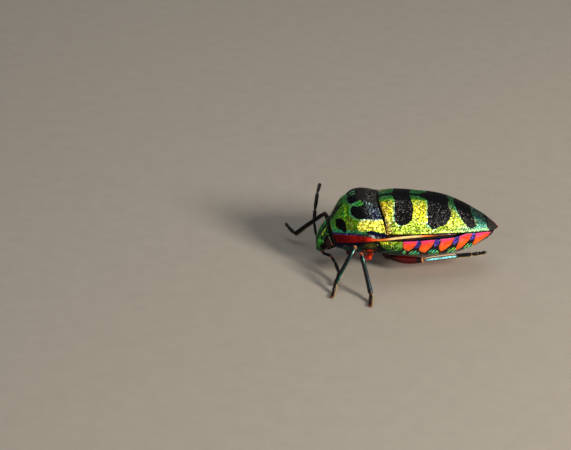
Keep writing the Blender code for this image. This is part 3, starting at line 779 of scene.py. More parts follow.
def pronotum(paint):
    rows, across = fine(236), across_body(fine(380))
    share, hind = along_body(rows), hind_edge(across)
    x, upper = leaning_grid(COLLAR.at, rows, across, hind)
    w = COLLAR.arc(x, across)
    c = Chart(x, w, across)
    flank = w - BAND_TOP(x)
    length = hind - neck_x(upper[..., 2])
    front, back = share * length * 1.5, (1 - share) * length
    band = ease(flank, -0.03, 0.05)

    pit = c.pits(0.20, 3, 0.085, 0.02) * (1 - band)
    callus = c.spot(-7.62, 0.30, 1.45, 0.42)
    relief = (0.05 * bump(front, 0.10, 0.07) - 0.05 * bump(front, 0.30, 0.09) + 0.07 * callus
              - 0.06 * bump(x, -6.95, 0.22) * ease(w, 4.2, 2.5) - 0.05 * bump(flank, -0.10, 0.10)
              + 0.05 * bump(flank, 0.34, 0.28) - 0.022 * pit * (1 - callus) + 0.018 * c.lumps(0.9, 5))
    upper = raised(upper, relief)
    upper[..., 2] -= edge_roll(back, 0.16)

    lobes = np.maximum(c.inside(INNER_LOBE), c.inside(OUTER_LOBE))
    humeral, patch = c.inside(HUMERAL_DARK), c.inside(GOLD_PATCH)
    flecks = c.lumps(0.14, 19, -0.1, 0.4)
    rear = ease(x, -4.9, -4.3)
    # painted highlight: white glints on the shoulder, just above the red band
    painted_glint = bump(x, -3.85, 0.50) * bump(flank, -0.20, 0.16) * c.lumps(0.22, 66, -0.5, 0.0)
    tint = layered(
        GREEN,
        ("748604", bump(x, -6.5, 0.95) * ease(w, 2.4, 3.4) * 0.85),
        (LEAF, ease(w, 1.3, 0.4) * 0.6 + 0.30 * c.lumps(0.6, 8).clip(0, 1)),
        ("129A3C", c.lumps(0.26, 18, -0.2, 0.6) * ease(x, -6.4, -7.2) * 0.5),
        ("E0FF20", c.spot(-7.25, 0.45, 1.8, 0.6) * flecks),
        ("9CD818", ease(x, -5.6, -6.2) * bump(w, 2.4, 1.3) * flecks * 0.5),
        ("D0C020", bump(front, 0.36 + 0.10 * w, 0.18) * ease(w, 1.2, 1.8) * 0.9),
        # painted highlight: a teal streak along the front of the pronotum
        ("20F0A8", bump(front, 0.72 + 0.10 * w, 0.16) * ease(w, 1.4, 2.0) * 0.8),
        ("0C7A3C", c.spot(-5.6, 0.45, 1.95, 0.25) * 0.8),
        ("FFFF4E", ease(patch + 0.15 * c.lumps(0.25, 9), -0.10, 0.10)),
        ("D4FFF4", bump(patch, 0.03, 0.07) * ease(w, 4.3, 4.0)),
        ("0C8A5C", ease(flank, -0.70, -0.42) * 0.8 * (1 - rear)),
        ("34E8B4", bump(flank, -0.40, 0.12) * c.lumps(0.18, 10, -0.3, 0.5) * 0.9 * (1 - rear)),
        (blend("16247A", "080A20", ease(x, -5.8, -4.8)), ease(flank + 0.42 * rear, -0.22, -0.12)),
        ("F0FCFF", painted_glint),
        ("4E0303", band),
        ("84100C", band * ease(x, -7.4, -6.0)),
        ("E0301A", band * ease(x, -5.0, -4.2) * 0.8),
        (ORANGE, band * ease(x, -4.3, -3.5) * 0.8),
        (CYAN, bump(lobes, -0.03, 0.10) * ease(x, -5.4, -6.1) * 0.45 * (1 - band)))
    # painted highlight: pale glint flecks on the black lobes and behind them
    fleck = c.lumps(0.085, 61, 0.35, 0.75)
    dark = layered(
        BLACK,
        (NIGHT, ease(humeral, -0.2, 0.05) * 0.3),
        ("B4E0D8", c.spot(-4.55, 0.65, 1.9, 0.42) * fleck),
        ("C8E8F4", c.spot(-3.5, 0.75, 3.0, 0.85) * ease(fleck, 0.0, 0.6)),
        ("2C2650", c.spot(-3.7, 0.55, 3.1, 0.7) * 0.35),
        # painted sheen: a grey-brown sheen on the black top towards the hind edge
        ("242120", ease(w, 2.0, 1.4) * ease(x, -6.0, -5.4) * 0.7))
    ink = np.maximum.reduce([lobes, c.inside(STREAK), c.inside(SPOT), humeral,
                             0.16 - w - 0.5 * ease(x, -6.6, -7.2)])
    # painted shade: black along the front seam with the head and along the hind edge, for the shade in the
    # gaps between the plates
    seam = 0.34 + 0.20 * ease(w, 2.6, 3.8) - front
    ink = np.maximum.reduce([np.where(band > 0.5, -1.0, ink), seam, 0.05 * ease(w, 5.2, 4.2) - back])
    grain = (1 - band) * ease(seam, 0.02, -0.02)
    gold = ease(patch, -0.2, 0.1)
    marked = ease(lobes, 0.05, 0.7) * ease(x, -5.6, -4.4)
    fields = {"tint": tint, "dark": dark, "ink": ink, "metal": grain * (0.8 - 0.5 * gold) * (1 - painted_glint),
              "pit": pit * (1 - 0.7 * gold), "grain": grain * (0.45 + 0.55 * np.maximum(gold, marked))}

    across = across_body(fine(40))
    _, lower = leaning_grid(lambda x, across: np.stack([x, PRONOTUM_HALF(x) * across, PRONOTUM_EDGE(x)], -1),
                            rows, across, hind_edge(across))
    plate("pronotum_shell", upper, lower, paint, "pronotum", above=fields)


def scutellum(paint):
    rows, across = fine(300), across_body(fine(298))
    share = along_body(rows)

    def places(across):
        first = HUNCH_X + GAP + HUMERAL_SWEEP * across ** 2
        return first, first * (1 - share) + TAIL_X * share
    first, x = places(across)
    upper = SHIELD.at(x, across)
    w = SHIELD.arc(x, across)
    c = Chart(x, w, across)
    margin = SHIELD.arc(x, np.ones_like(across)) - w
    front = x - first

    pit = c.pits(0.20, 13, 0.085, 0.02) * ease(margin, 0.10, 0.22)
    relief = (0.035 * bump(margin, 0.08, 0.07) - 0.02 * bump(margin, 0.27, 0.09) - 0.022 * pit
              + 0.02 * c.lumps(1.1, 15) - 0.05 * bump(front, 0.62, 0.22) * ease(w, 0.2, 1.0))
    upper = raised(upper, relief)
    upper[..., 2] -= edge_roll(front, 0.42) * 0.45

    # painted light: on the far side the gold begins further from the midline, for the greener colour that
    # side shows at its other angle to the light
    tone = w - 0.9 * ease(c.side, 0.0, 0.8)
    rough_tone = tone + 0.32 * c.lumps(0.4, 16) + 0.62 * c.lumps(0.15, 65)
    tint = layered(
        "087A38",
        (LEAF, ease(tone, 0.2, 0.75)),
        (GREEN, ease(tone, 0.7, 1.2) * 0.8),
        (GOLD, ease(rough_tone, 1.00, 1.85)),
        (LIME, ease(w, 2.6, 4.3) * 0.9),
        # painted shade: deeper gold along the front, where the surface turns down towards the seam away from
        # the light
        (DEEP_GOLD, bump(front, 0.0, 0.55) * ease(w, 0.9, 1.6) * 0.75),
        ("A8B03A", ease(x, 3.0, 4.6) * 0.5),
        (LIME, ease(x, 3.8, 6.0) * 0.7))
    tint = layered(
        tint * (1 - 0.32 * bump(x, 4.3, 1.1) * ease(w, 3.6, 2.8))[..., None],
        (LEAF, ease(x, 4.4, 5.6) * ease(w, 2.4, 1.3)),
        ("12683A", ease(rough_tone, 1.9, 1.2) * bump(x, 4.9, 0.8)),
        (TEAL, ease(x - 0.25 * w, 6.6, 7.6) * 0.95),
        ("0A4A44", ease(x, 6.9, 7.6) * ease(w, 1.7, 1.0) * c.lumps(0.2, 68, -0.9, 0.2)),
        ("1C2C2E", ease(w, 0.95, 0.25) * ease(x, 6.9, 7.6) * 0.7),
        # painted highlight: cyan along the lower margin towards the tail, and pale lime along it further
        # forward
        (CYAN, ease(margin, 1.1, 0.3) * ease(x, 4.5, 7.5) * 0.8),
        (PALE_LIME, ease(margin, 0.45, 0.15) * ease(x, 1.0, 4.5) * 0.5))
    ink = c.inside(TAIL_SPOT)
    patchy = c.lumps(0.35, 17, -0.6, 0.3)
    for outline in (BAR_1, BAR_2, BAR_3):
        bar = c.inside(outline)
        ahead = ease(np.mean(outline, axis=0)[0] - x, -0.3, 0.6)
        tint = blend(tint, CYAN, bump(bar, -0.04, 0.10) * ahead * patchy * ease(w, 0.8, 1.4) * 0.8)
        ink = np.maximum(ink, bar)
    # painted shade: brown flecks on the front corner of the shield, in the groove by the pronotum's hind
    # corner
    shoulder_shade = bump(front, 0.15, 0.42) * ease(w, 3.7, 4.4)
    tint = blend(tint, "8A5418", shoulder_shade * c.lumps(0.13, 62, -0.4, 0.5) * 0.8)
    # painted shade: black along the front edge, for the shade in the gap to the pronotum
    ink = np.maximum.reduce([ink, 0.46 * ease(x, 4.0, 3.4) - 0.20 - w, 0.07 * ease(w, 5.0, 3.9) - front])
    gold = ease(tone, 0.9, 1.5)
    dark = layered(BLACK, ("4A4642", ease(x, 8.8, 9.2) * 0.35),
                   ("500E08", np.maximum(ease(x, 9.95, 10.22), ease(w, 0.20, 0.08) * ease(x, 9.2, 9.7))))
    fields = {"tint": tint, "dark": dark, "ink": ink, "metal": 0.8 - 0.45 * gold, "pit": pit,
              "grain": 0.4 + 0.6 * gold}

    across = across_body(fine(30))
    _, x = places(across)
    lower = np.stack(np.broadcast_arrays(x, SHIELD_HALF(x) * across, SHIELD_EDGE(x)), -1)
    round_tip((upper, lower), share, 0.035, lambda x: SHIELD_EDGE(x) + 0.09)
    plate("scutellum_shell", upper, lower, paint, "scutellum", above=fields)


def corium_wing(side, name, paint):
    """The leathery strip of forewing between the shield's lip and the belly."""
    rows, steps = fine(260), fine(80)
    x = np.linspace(HUNCH_X + 2 * GAP + HUMERAL_SWEEP, CORIUM_LAST_X, rows)[:, None]
    inner, outer = 0.82 * SHIELD_HALF(x), CORIUM_HALF(x)
    lid, seat, bead = SHIELD_EDGE(x) - GAP, TRUNK_TOP(x) + GAP, BEAD_Z(x)
    corners = [(inner, lid), (inner + 0.55 * (outer - inner), lid),
               (outer - 0.14, np.maximum(bead + 0.14, lid - 0.06)), (outer - 0.13, bead + 0.10),
               (outer - 0.05, bead + 0.09), (outer, bead), (outer - 0.04, bead - 0.09),
               (outer - 0.13, bead - 0.12), (outer - 0.12, seat + 0.04), (outer - 0.16, seat), (inner, seat)]
    stations = (0, 0.14, 0.24, 0.30, 0.36, 0.42, 0.48, 0.54, 0.66, 0.70, 1.0)
    q = np.linspace(0, 1, steps)
    y, z = (np.stack([np.interp(q, stations, row) for row in np.hstack(line)]) for line in zip(*corners))
    taper = np.sqrt(np.clip(1 - ease(x, 4.2, CORIUM_LAST_X) ** 2, 0.002, 1))
    middle = (lid + seat) / 2
    rings = np.stack([np.broadcast_to(x, y.shape), side * (inner + (y - inner) * taper),
                      middle + (z - middle) * taper], -1)
    if side < 0:
        rings = rings[:, ::-1]
        q = q[::-1]
    # dark brown and black: partly the corium's own colour, partly painted shade under the shield's lip
    tint = layered(UMBER, (BLACK, ease(lumps(x, q * 4, 0.5, 31), -0.2, 0.6)), (BLACK, ease(x, 1.8, 3.0)))
    tube(f"corium_{name}_wing", rings, paint, CORIUM_SLOT, [f"corium_{name}"],
         tint=tint, dark=UMBER, ink=-1.0, metal=0.0)


def corium_bead(side, name, paint):
    """The orange bead along the forewing's edge, which runs on below the corner of the pronotum; its cream
    middle stretch is a painted highlight.
    """
    first, length = -4.25, CORIUM_LAST_X - 0.3 + 4.25
    x = first + length * np.linspace(0, 1, fine(300))
    half = Curve((-4.3, 3.99), (-3.6, 4.10), (-2.5, 4.15), (0.0, 4.00), (3.0, 3.58), (5.6, 2.94))(x)
    path = np.stack([x, side * half, BEAD_Z(x) - 0.02], -1)
    radii = Curve((-4.25, 0.03), (-3.6, 0.09), (-2.4, 0.12), (0.6, 0.125), (2.2, 0.085), (5.3, 0.05))(x)

    def shades(share, turn):
        at = first + length * share
        # painted highlight: cream along the middle stretch of the orange bead
        tint = layered(SCARLET, (ORANGE, ease(at, -4.2, -3.2)),
                       (HIGHLIGHT_CREAM, ease(at, -2.9, -1.6) * ease(at, 1.9, 0.6)), ("5A160A", ease(at, 1.9, 3.4)))
        return tint, UMBER, -1.0, 0.0
    limb(f"corium_{name}_bead", path, radii, fine(28), paint, CORIUM_SLOT, (), shades)


# ---------------------------------------------------------------- trunk

def trunk_chart(x, columns):
    """The trunk's chart, with w measured down from the rim, and the grid of its flat lid."""
    across = across_body(columns)
    lid = np.stack(np.broadcast_arrays(x, TRUNK_HALF(x) * across, TRUNK_TOP(x)), -1)
    w = BELLY.arc(x, np.ones_like(across)) - BELLY.arc(x, across)
    return Chart(x, w, across), lid[:, ::max(1, columns // 24)]


def trunk_skin(x, across):
    return BELLY.at(x, across) * np.array((1, 1, -1))


def thorax(paint):
    rows, columns = fine(270), fine(320)
    x, lower = leaning_grid(trunk_skin, rows, across_body(columns), WAIST_X - GAP / 2)
    c, lid = trunk_chart(x, columns)
    w, y = c.w, np.abs(lower[..., 1])
    plate_3 = c.inside(METAPLEURON)
    pit = c.pits(0.24, 23, 0.11, 0.03) * ease(w, 3.2, 2.4)
    sockets = sum(bump(np.hypot(x - leg_x, y - leg_y), 0.52, 0.16)
                  for (leg_x, leg_y), *_ in (LEGS[f"{pair}_right"] for pair in ("front", "middle", "hind")))
    relief = (-0.03 * pit - 0.08 * bump(x + 0.25 * w, -3.2, 0.07) - 0.08 * bump(x - 0.2 * w, -5.6, 0.08)
              - 0.06 * bump(x - 0.3 * w, -7.9, 0.07) + 0.05 * ease(plate_3, 0.0, 0.25) * ease(w, 0, 0.2)
              - 0.10 * bump(y, 0.0, 0.24) + 0.06 * bump(y, 0.42, 0.10) + 0.10 * sockets
              + 0.03 * c.lumps(0.8, 25) + 0.05 * bump(x, WAIST_X - 0.10, 0.06) * ease(w, 3.0, 1.5)
              + 0.05 * bump(np.hypot(x + 3.0, w - 1.55), 0.16, 0.06))
    lower = raised(lower, -relief)
    tint = layered(
        LIME,
        (GOLD, bump(x, -2.6, 0.8) * ease(w, 1.0, 0.2) * 0.8),
        ("5CB81C", ease(w + 0.3 * c.lumps(0.3, 63), 0.25, 0.65)),
        (LEAF, ease(w, 0.7, 1.3)))
    tint = blend(tint * (0.30 + 0.70 * c.lumps(0.14, 70, -0.4, 0.4))[..., None], BLACK,
                 bump(x + 0.2 * w, -1.62, 0.06) * ease(w, 0.25, 0.5) * 0.8)
    dark = layered(
        BLACK,
        ("0C3A3A", ease(w, 0.35, 0.8) * ease(x, -4.6, -5.6)),
        (NIGHT, ease(w, 0.5, 0.1) * ease(x, -4.0, -5.0) * 0.2),
        ("5A5A12", c.spot(-4.2, 0.6, 0.5, 0.35) * 0.8),
        ("D8481C", ease(c.spot(-4.35, 0.80, 1.50, 0.38), 0.3, 0.6) * c.lumps(0.20, 67, -0.4, 0.2)),
        (RUST, ease(sockets, 0.3, 0.9) * 0.8),
        (DEEP_GREEN, ease(w, 1.2, 1.8) * ease(x, -3.4, -2.4) * 0.8))
    fields = {"tint": tint, "dark": dark, "ink": -plate_3, "metal": 0.4, "pit": pit,
              "grain": 0.3 + 0.6 * ease(w, 0.1, 0.4)}
    plate("thorax_sides", lid, lower, paint, "thorax", below=fields)


def abdomen(paint):
    rows, columns = fine(320), fine(270)
    share = along_body(rows)
    x = np.broadcast_to((WAIST_X + GAP / 2) * (1 - share) + ABDOMEN_LAST_X * share, (rows, columns))
    lower = trunk_skin(x, across_body(columns))
    c, lid = trunk_chart(x, columns)
    w, straight = c.w, x - SUTURE_LEAN * c.w
    into, ahead, breath = (np.full(x.shape, FAR) for _ in range(3))
    violet, teal = np.zeros(x.shape), np.zeros(x.shape)
    for suture, after in zip(SUTURES, SUTURES[1:]):
        into = np.where((straight >= suture), straight - suture, into)
        ahead = np.where((straight >= suture) & (straight < after), after - straight, ahead)
        if after != SUTURES[-1]:
            violet = np.maximum(violet, bump(x + 0.2 * w, after - 0.34, 0.34) * bump(w, 0.35, 0.65))
            teal = np.maximum(teal, c.spot(after - 0.70, 0.60, 2.15, 0.72))
            breath = np.minimum(breath, np.hypot(x - after + 0.95, w - 2.5))
    blotch = np.maximum.reduce([c.inside(outline) for outline in BLOTCHES])
    teal = np.maximum(teal, c.spot(-0.45, 0.22, 1.9, 0.6))
    hatch = ease(np.sin(2 * np.pi * (x + 0.60 * w) / 0.42) + 1.1 * c.lumps(0.13, 38), 0.05, 0.45)
    relief = (-0.05 * bump(into, 0.0, 0.05) + 0.035 * bump(ahead, 0.08, 0.12) + 0.02 * c.lumps(0.7, 35)
              + 0.03 * bump(w, 0.10, 0.08) - 0.03 * bump(w, 0.30, 0.10)
              + 0.03 * bump(breath, 0.10, 0.04) - 0.04 * bump(breath, 0.0, 0.05)
              + 0.05 * bump(ahead, 0.10, 0.16) * ease(w, 0.45, 0.0))
    lower = raised(lower, -relief)
    tint = layered(
        # painted reflection: pink along the top of the red blotches
        REFLECTED_PINK,
        (SCARLET, ease(w + 0.25 * into + 0.25 * c.lumps(0.5, 36), 0.15, 0.72)),
        ("FF701A", ease(w, 0.5, 1.2) * 0.8),
        # painted highlight: pale pink patches in the upper middle of the blotches
        ("FF8C94", bump(w, 0.62, 0.24) * c.lumps(0.35, 39, 0.0, 0.6) * 0.30))
    dark = layered(
        BLACK,
        (VIOLET, ease(violet, 0.30, 0.80) * (0.35 + 0.65 * c.lumps(0.13, 69, -0.5, 0.1))),
        (blend("48FFD0", "C0FF38", c.lumps(0.16, 64, -0.1, 0.3)), ease(teal, 0.26, 0.48) * hatch))
    below = w - 3.35 + 0.25 * c.lumps(0.9, 37)
    fields = {"tint": tint, "dark": dark, "ink": -np.maximum(blotch, below),
              "metal": ease(violet, 0.25, 0.6), "pit": 0.0, "grain": 0.0}
    round_tip((lower, lid), share, 0.04, lambda x: (TRUNK_TOP(x) + TRUNK_KEEL(x)) / 2)
    plate("abdomen_belly", lid, lower, paint, "abdomen", below=fields)


# ---------------------------------------------------------------- head

def head_points(along, turn):
    """Points of the plain head at shares along it, and at angles round it from its left side."""
    index = np.arange(len(HEAD_SECTIONS)) / (len(HEAD_SECTIONS) - 1)
    lines = [Curve(*zip(index, column))(along) for column in zip(*HEAD_SECTIONS)]
    top_x, top_z, under_x, under_z, half = lines
    c, s = np.cos(turn), np.sin(turn)
    power = 2 / np.where(s > 0, HEAD_TOP_ROUND, HEAD_ROUND)
    bent_c = np.sign(c) * np.abs(c) ** power
    bent_s = np.sign(s) * np.abs(s) ** power
    x = (top_x + under_x) / 2 + (top_x - under_x) / 2 * bent_s
    z = (top_z + under_z) / 2 + (top_z - under_z) / 2 * bent_s
    return np.stack([x, half * bent_c, z], -1)


def head(paint):
    rows, sides = fine(190), fine(260)
    along = along_body(rows)
    turn = (2 * np.pi * np.arange(sides) / sides)[None, :]
    rings = head_points(along, turn)
    y, s = rings[..., 1], np.sin(turn)
    across = np.abs(y)
    c = Chart(along * HEAD_SPAN, across, y)
    face, throat = ease(s, 0.0, 0.35), ease(s, -0.5, -0.9)
    centres = [EYE_CENTRE * np.array((1, sign, 1)) for sign in (-1, 1)]
    orbit = np.min([np.linalg.norm((rings - eye) / (EYE_RADII + 0.05), axis=-1) for eye in centres], axis=0)
    pit = c.pits(0.17, 43, 0.075, 0.02) * face * ease(across, 0.10, 0.2)
    wrinkle = np.sin(along * 120 + 3 * c.lumps(0.5, 44)) * face * ease(along, 0.55, 0.2)
    relief = (-0.05 * bump(across, 0.34 - 0.10 * along, 0.05) * ease(along, 0.30, 0.45) * face
              - 0.018 * pit + 0.006 * wrinkle
              + 0.05 * bump(across, 0.0, 0.25) * ease(along, 0.3, 0.6) * face
              + 0.09 * bump(across, 1.05, 0.42) * face - 0.04 * bump(across, 0.0, 0.30) * face
              - 0.03 * bump(across, 0.62, 0.12) * face * ease(along, 0.5, 0.2)
              + 0.06 * bump(orbit, 1.12, 0.10) - 0.10 * ease(orbit, 1.05, 0.8) + 0.015 * c.lumps(0.6, 45)
              - 0.10 * bump(y, 0.0, 0.22) * throat + 0.06 * bump(across, 0.36, 0.10) * throat)
    shape = facing(rings, True)
    outward = np.sign(np.sum(shape * (rings - rings.mean(1, keepdims=True)), -1).mean())
    rings = rings + shape * outward * relief[..., None]
    nose = rings[-1].mean(0)
    forward = unit(nose - rings[-12].mean(0))
    closing = np.array([nose + (rings[-1] - nose) * np.sqrt(1 - k ** 2) + forward * 0.12 * k
                        for k in np.linspace(0.15, 0.98, 8)])

    near = ease(y, 0.1, -0.1)
    streak = near * ease(bump(across, 0.84 + 0.9 * along, 0.24) * bump(along, 0.17, 0.14), 0.25, 0.6)
    streak = streak * (0.35 + 0.65 * ease(np.sin(along * 62), -0.5, 0.4))
    cheek = near * bump(across, 1.15, 0.30) * bump(along, 0.42, 0.10)
    beads = c.lumps(0.14, 48, -0.3, 0.3)
    tint = layered(
        blend("04683A", "28D048", c.lumps(0.26, 46, -0.5, 0.5)) * (0.16 + 1.04 * beads)[..., None],
        ("062C14", ease(along, 0.66, 0.88) * 0.8),
        ("4A2A10", c.lumps(0.22, 49, 0.25, 0.6) * ease(along, 0.35, 0.55) * 0.8),
        ("58F028", ease(cheek, 0.3, 0.8) * (0.3 + 0.7 * beads)),
        ("E6FF14", streak),
        # painted shade: dark teal along the far edge of the head
        ("0A3A44", ease(y, 0.85, 1.2)),
        ("5A1208", ease(s, -0.15, -0.45)))
    ink = np.maximum.reduce([
        0.29 - across,
        0.17 - np.hypot((along - 0.09) * HEAD_SPAN, across - 1.30),
        0.36 - np.hypot((along - 0.44) * 3.2, (s + 0.10) * 0.8),
        np.minimum(1.30 - orbit, 0.3),
        # painted shade: black along the hind edge of the head, for the shade in the gap to the pronotum
        0.05 - along + 0.04 * lumps(y, along, 0.3, 47)])
    fields = {"tint": tint, "dark": blend(BLACK, "240608", ease(orbit, 1.5, 1.1)),
              "ink": np.where(s > -0.6, ink, -0.5), "metal": 0.55 - 0.4 * streak, "pit": pit,
              "grain": 0.45 * ease(across, 0.18, 0.30)}
    grown = {key: np.concatenate([value, np.repeat(value[-1:], len(closing), 0)])
             for key, value in fields.items()}
    tube("head_capsule", np.concatenate([rings, closing]), paint, SHELL_SLOT, ["head"], **grown)


def to_end(share):
    """Share of a limb's length from the nearer of its ends."""
    return np.minimum(share, 1 - share)


def eyes(lens_paint, rim_paint, gem_paint):
    for name, sign in (("left", -1), ("right", 1)):
        centre = EYE_CENTRE * np.array((1, sign, 1))
        tube(f"eye_{name}_lens", ball(centre, EYE_RADII, fine(70), fine(120), low=-0.25, sign=sign),
             lens_paint, EYE_SLOT, [f"eye_{name}"])
        turn = np.linspace(0, 2 * np.pi, fine(90), endpoint=False)
        path = centre + np.stack([EYE_RADII[0] * 1.02 * np.cos(turn), np.full_like(turn, sign * 0.09),
                                  EYE_RADII[2] * 1.02 * np.sin(turn)], -1)
        bead_loop(f"eye_{name}_rim", path, 0.048, rim_paint)
        turn = np.pi / 2 - sign * np.linspace(np.pi / 2 - 0.30, np.pi / 2 + 0.80, fine(60))[None, :]
        path = head_points(np.full((1, 1), 0.075), turn)[0]
        path[:, 1] += sign * (0.05 + 0.27 * np.sin(np.linspace(0, np.pi, len(path))))
        limb(f"eye_{name}_fold", path, np.full(len(path), 0.05), fine(16), rim_paint, EYE_SLOT, (),
             lambda s, turn: (blend("B4C49C", "B4562C", bump(s, 0.55, 0.15)), BLACK, 0.06 - to_end(s), 0.0))
        dot = head_points(np.array([[0.09]]), np.array([[np.pi / 2 + 0.87]]))[0, 0]
        dot[1] = sign * abs(dot[1])
        tube(f"ocellus_{name}", ball(dot, 0.10, fine(14), fine(24), axis=0, sign=-1.0), gem_paint, EYE_SLOT)


# ---------------------------------------------------------------- limbs

def antennae(paint, hair):
    for name, joints in ANTENNAE.items():
        tufts = []
        for number, radius in enumerate((0.165, 0.15, 0.19, 0.20, 0.175)):
            a, b = np.array(joints[number]), np.array(joints[number + 1])
            length = np.linalg.norm(b - a)
            share = np.linspace(0, 1, fine(90))
            path = a + (b - a) * (1.03 * share[:, None] - 0.015)
            narrow = 0.66 + 0.34 * ease(share, 0.0, 0.35) - 0.16 * ease(share, 0.85, 1.0)
            radii = radius * narrow * cap(share, length, radius * 0.8, radius * 0.9)
            radii = radii + 0.004 * lumps(share * length, share * 0 + number, 0.12, 50 + number)
            red = name == "left" and number == 1

            def shades(s, turn):
                ink = ease(s, 0.15, 0.6) * 0.3 - 0.15 if red else to_end(s) * length - 0.06
                return RUST if red else "2A0E08", BLACK, ink, 0.0
            limb(f"antenna_{name}_segment_{number + 1}", path, radii, fine(36), paint, LIMB_SLOT,
                 [f"antenna_{name}_{number + 1}"], shades)
            roots, ways, lengths = tuft(path, radii, int(170 * length), 60 + number, 0.9, (0.07, 0.15))
            tufts.append((roots, ways, lengths * (0.6 if number < 2 else 1.0)))
        bristles(f"antenna_{name}_down", tufts, 0.009, hair, bend=0.1)
        base = np.array(joints[0])
        socket = ball(base + np.array((0.04, -0.18 * np.sign(base[1]), 0.16)), (0.24, 0.26, 0.24),
                      fine(24), fine(36), axis=0, sign=-1.0)
        tube(f"antenna_{name}_socket", socket, paint, LIMB_SLOT,
             tint=RUST, dark=BLACK, ink=socket[..., 0] - base[0] + 0.05, metal=0.0)


def rostrum(paint):
    """The folded beak in four segments."""
    x = np.linspace(-9.0, -2.6, fine(220))
    z = TRUNK_KEEL(np.maximum(x, -7.8)) - 0.30 - 0.42 * np.clip(-7.8 - x, 0, None)
    whole = np.stack([x, 0 * x, z], -1)
    share = np.linspace(0, 1, len(x))
    # first and last share of the whole, radius, and length of the rounded end
    segments = ((0.0, 0.24, 0.21, 0.08), (0.24, 0.52, 0.19, 0.08), (0.52, 0.78, 0.165, 0.08),
                (0.78, 1.0, 0.14, 0.5))
    for number, (first, last, radius, end) in enumerate(segments):
        part = whole[(share >= first) & (share <= last)]
        s = np.linspace(0, 1, len(part))
        length = np.linalg.norm(part[-1] - part[0])
        radii = radius * (1 - 0.08 * s) * cap(s, length, 0.08, end) * (1 - 0.18 * bump(s, 0.5, 0.3))
        limb(f"rostrum_segment_{number + 1}", part, radii, fine(32), paint, LIMB_SLOT,
             () if number else ["rostrum"], lambda s, turn: (RUST, BLACK, to_end(s) * 1.4 - 0.12, 0.0))


def leg_plan(key):
    """A leg's places, as in the solids: coxa ends, femur start, knee, ankle and toe."""
    (x, y), knee, ankle, toe, standing = LEGS[key]
    top = TRUNK_TOP(x) - LIP
    under = top - (top - TRUNK_KEEL(x)) * swell(y / TRUNK_HALF(x), TRUNK_ROUND)
    upper = np.array((x, y, under - 0.04))
    lower = upper + np.array((0, np.sign(y) * 0.22, -0.58))
    knee, ankle, toe = (np.array(p, float) for p in (knee, ankle, toe))
    out = unit(knee - lower)
    start = lower + unit(out * np.array((1, 1, 0))) * (0.40 * 0.8 + 2 * GAP) + np.array((0, 0, 0.10))
    return upper, lower, start, knee, out, ankle, toe, standing


def bowed(start, end, sag, count):
    share = np.linspace(0, 1, count)[:, None]
    heading = unit(end - start)
    rise = unit(UP - heading * heading[2])
    return start + (end - start) * share - rise * sag * np.sin(np.pi * share)


def around(sides):
    return np.linspace(0, 2 * np.pi, fine(sides), endpoint=False)[None, :]


def leg_root(key, upper, lower, start, out, paint, root_red_with_painted_light, seed):
    """Coxa and trochanter."""
    s = np.linspace(0, 1, fine(60))
    path = upper + (lower - upper) * s[:, None]
    radii = 0.40 * (1 - 0.45 * s ** 2) * np.sqrt(np.clip(1 - ease(s, 0.75, 1.0) ** 2 * 0.93, 0.01, 1))

    def shades(s, turn):
        blots = 0.3 * lumps(s * 2.5, 2 + np.cos(turn), 0.35, seed + 20) - 0.08
        return root_red_with_painted_light, "3A0804", np.maximum(0.05 - s, blots), 0.0
    limb(f"leg_{key}_coxa", path, radii, fine(48), paint, FEMUR_SLOT, [f"coxa_{key}"], shades)
    path = smooth_path([lower + (0, 0, 0.12), (lower + start) / 2 - (0, 0, 0.04), start + out * 0.16], len(s))
    radii = 0.23 * cap(s, 0.7, 0.2, 0.2) * (1 + 0.12 * bump(s, 0.6, 0.25))
    limb(f"leg_{key}_trochanter", path, radii, fine(40), paint, FEMUR_SLOT, (),
         lambda s, turn: (root_red_with_painted_light, BLACK, 0.06 - to_end(s), 0.0))


def femur(key, start, end, paint, thick, reds, seed):
    """A spindle that narrows to the knee. Gives its hairs."""
    length = np.linalg.norm(end - start)
    s = np.linspace(0, 1, fine(160))
    path = bowed(start, end, 0.22, len(s))
    plump = Curve((0, 0.55), (0.12, 0.72), (0.45, 1.0), (0.75, 0.86), (0.93, 0.70), (1, 0.66))(s)
    radii = thick * plump * cap(s, length, 0.12, 0.16)
    turn = around(56)
    shape = (radii[:, None] * (1 + 0.03 * np.cos(2 * turn))
             + 0.006 * lumps((s * length)[:, None], turn * thick, 0.25, seed))
    root_red_with_painted_light, far_red_with_painted_light, knee_horn_with_painted_light = reds

    def shades(s, turn):
        tint = layered(root_red_with_painted_light, (far_red_with_painted_light, ease(s, 0.10, 0.4)), (knee_horn_with_painted_light, ease(s, 0.940, 0.955)))
        return tint, "120604", 0.14 - np.abs(s - 0.87) * 2.2, 0.0
    limb(f"leg_{key}_femur", path, shape, shape.shape[1], paint, FEMUR_SLOT, [f"femur_{key}"], shades)
    return tuft(path, radii, int(60 * length), seed + 1, 1.2, (0.06, 0.12))


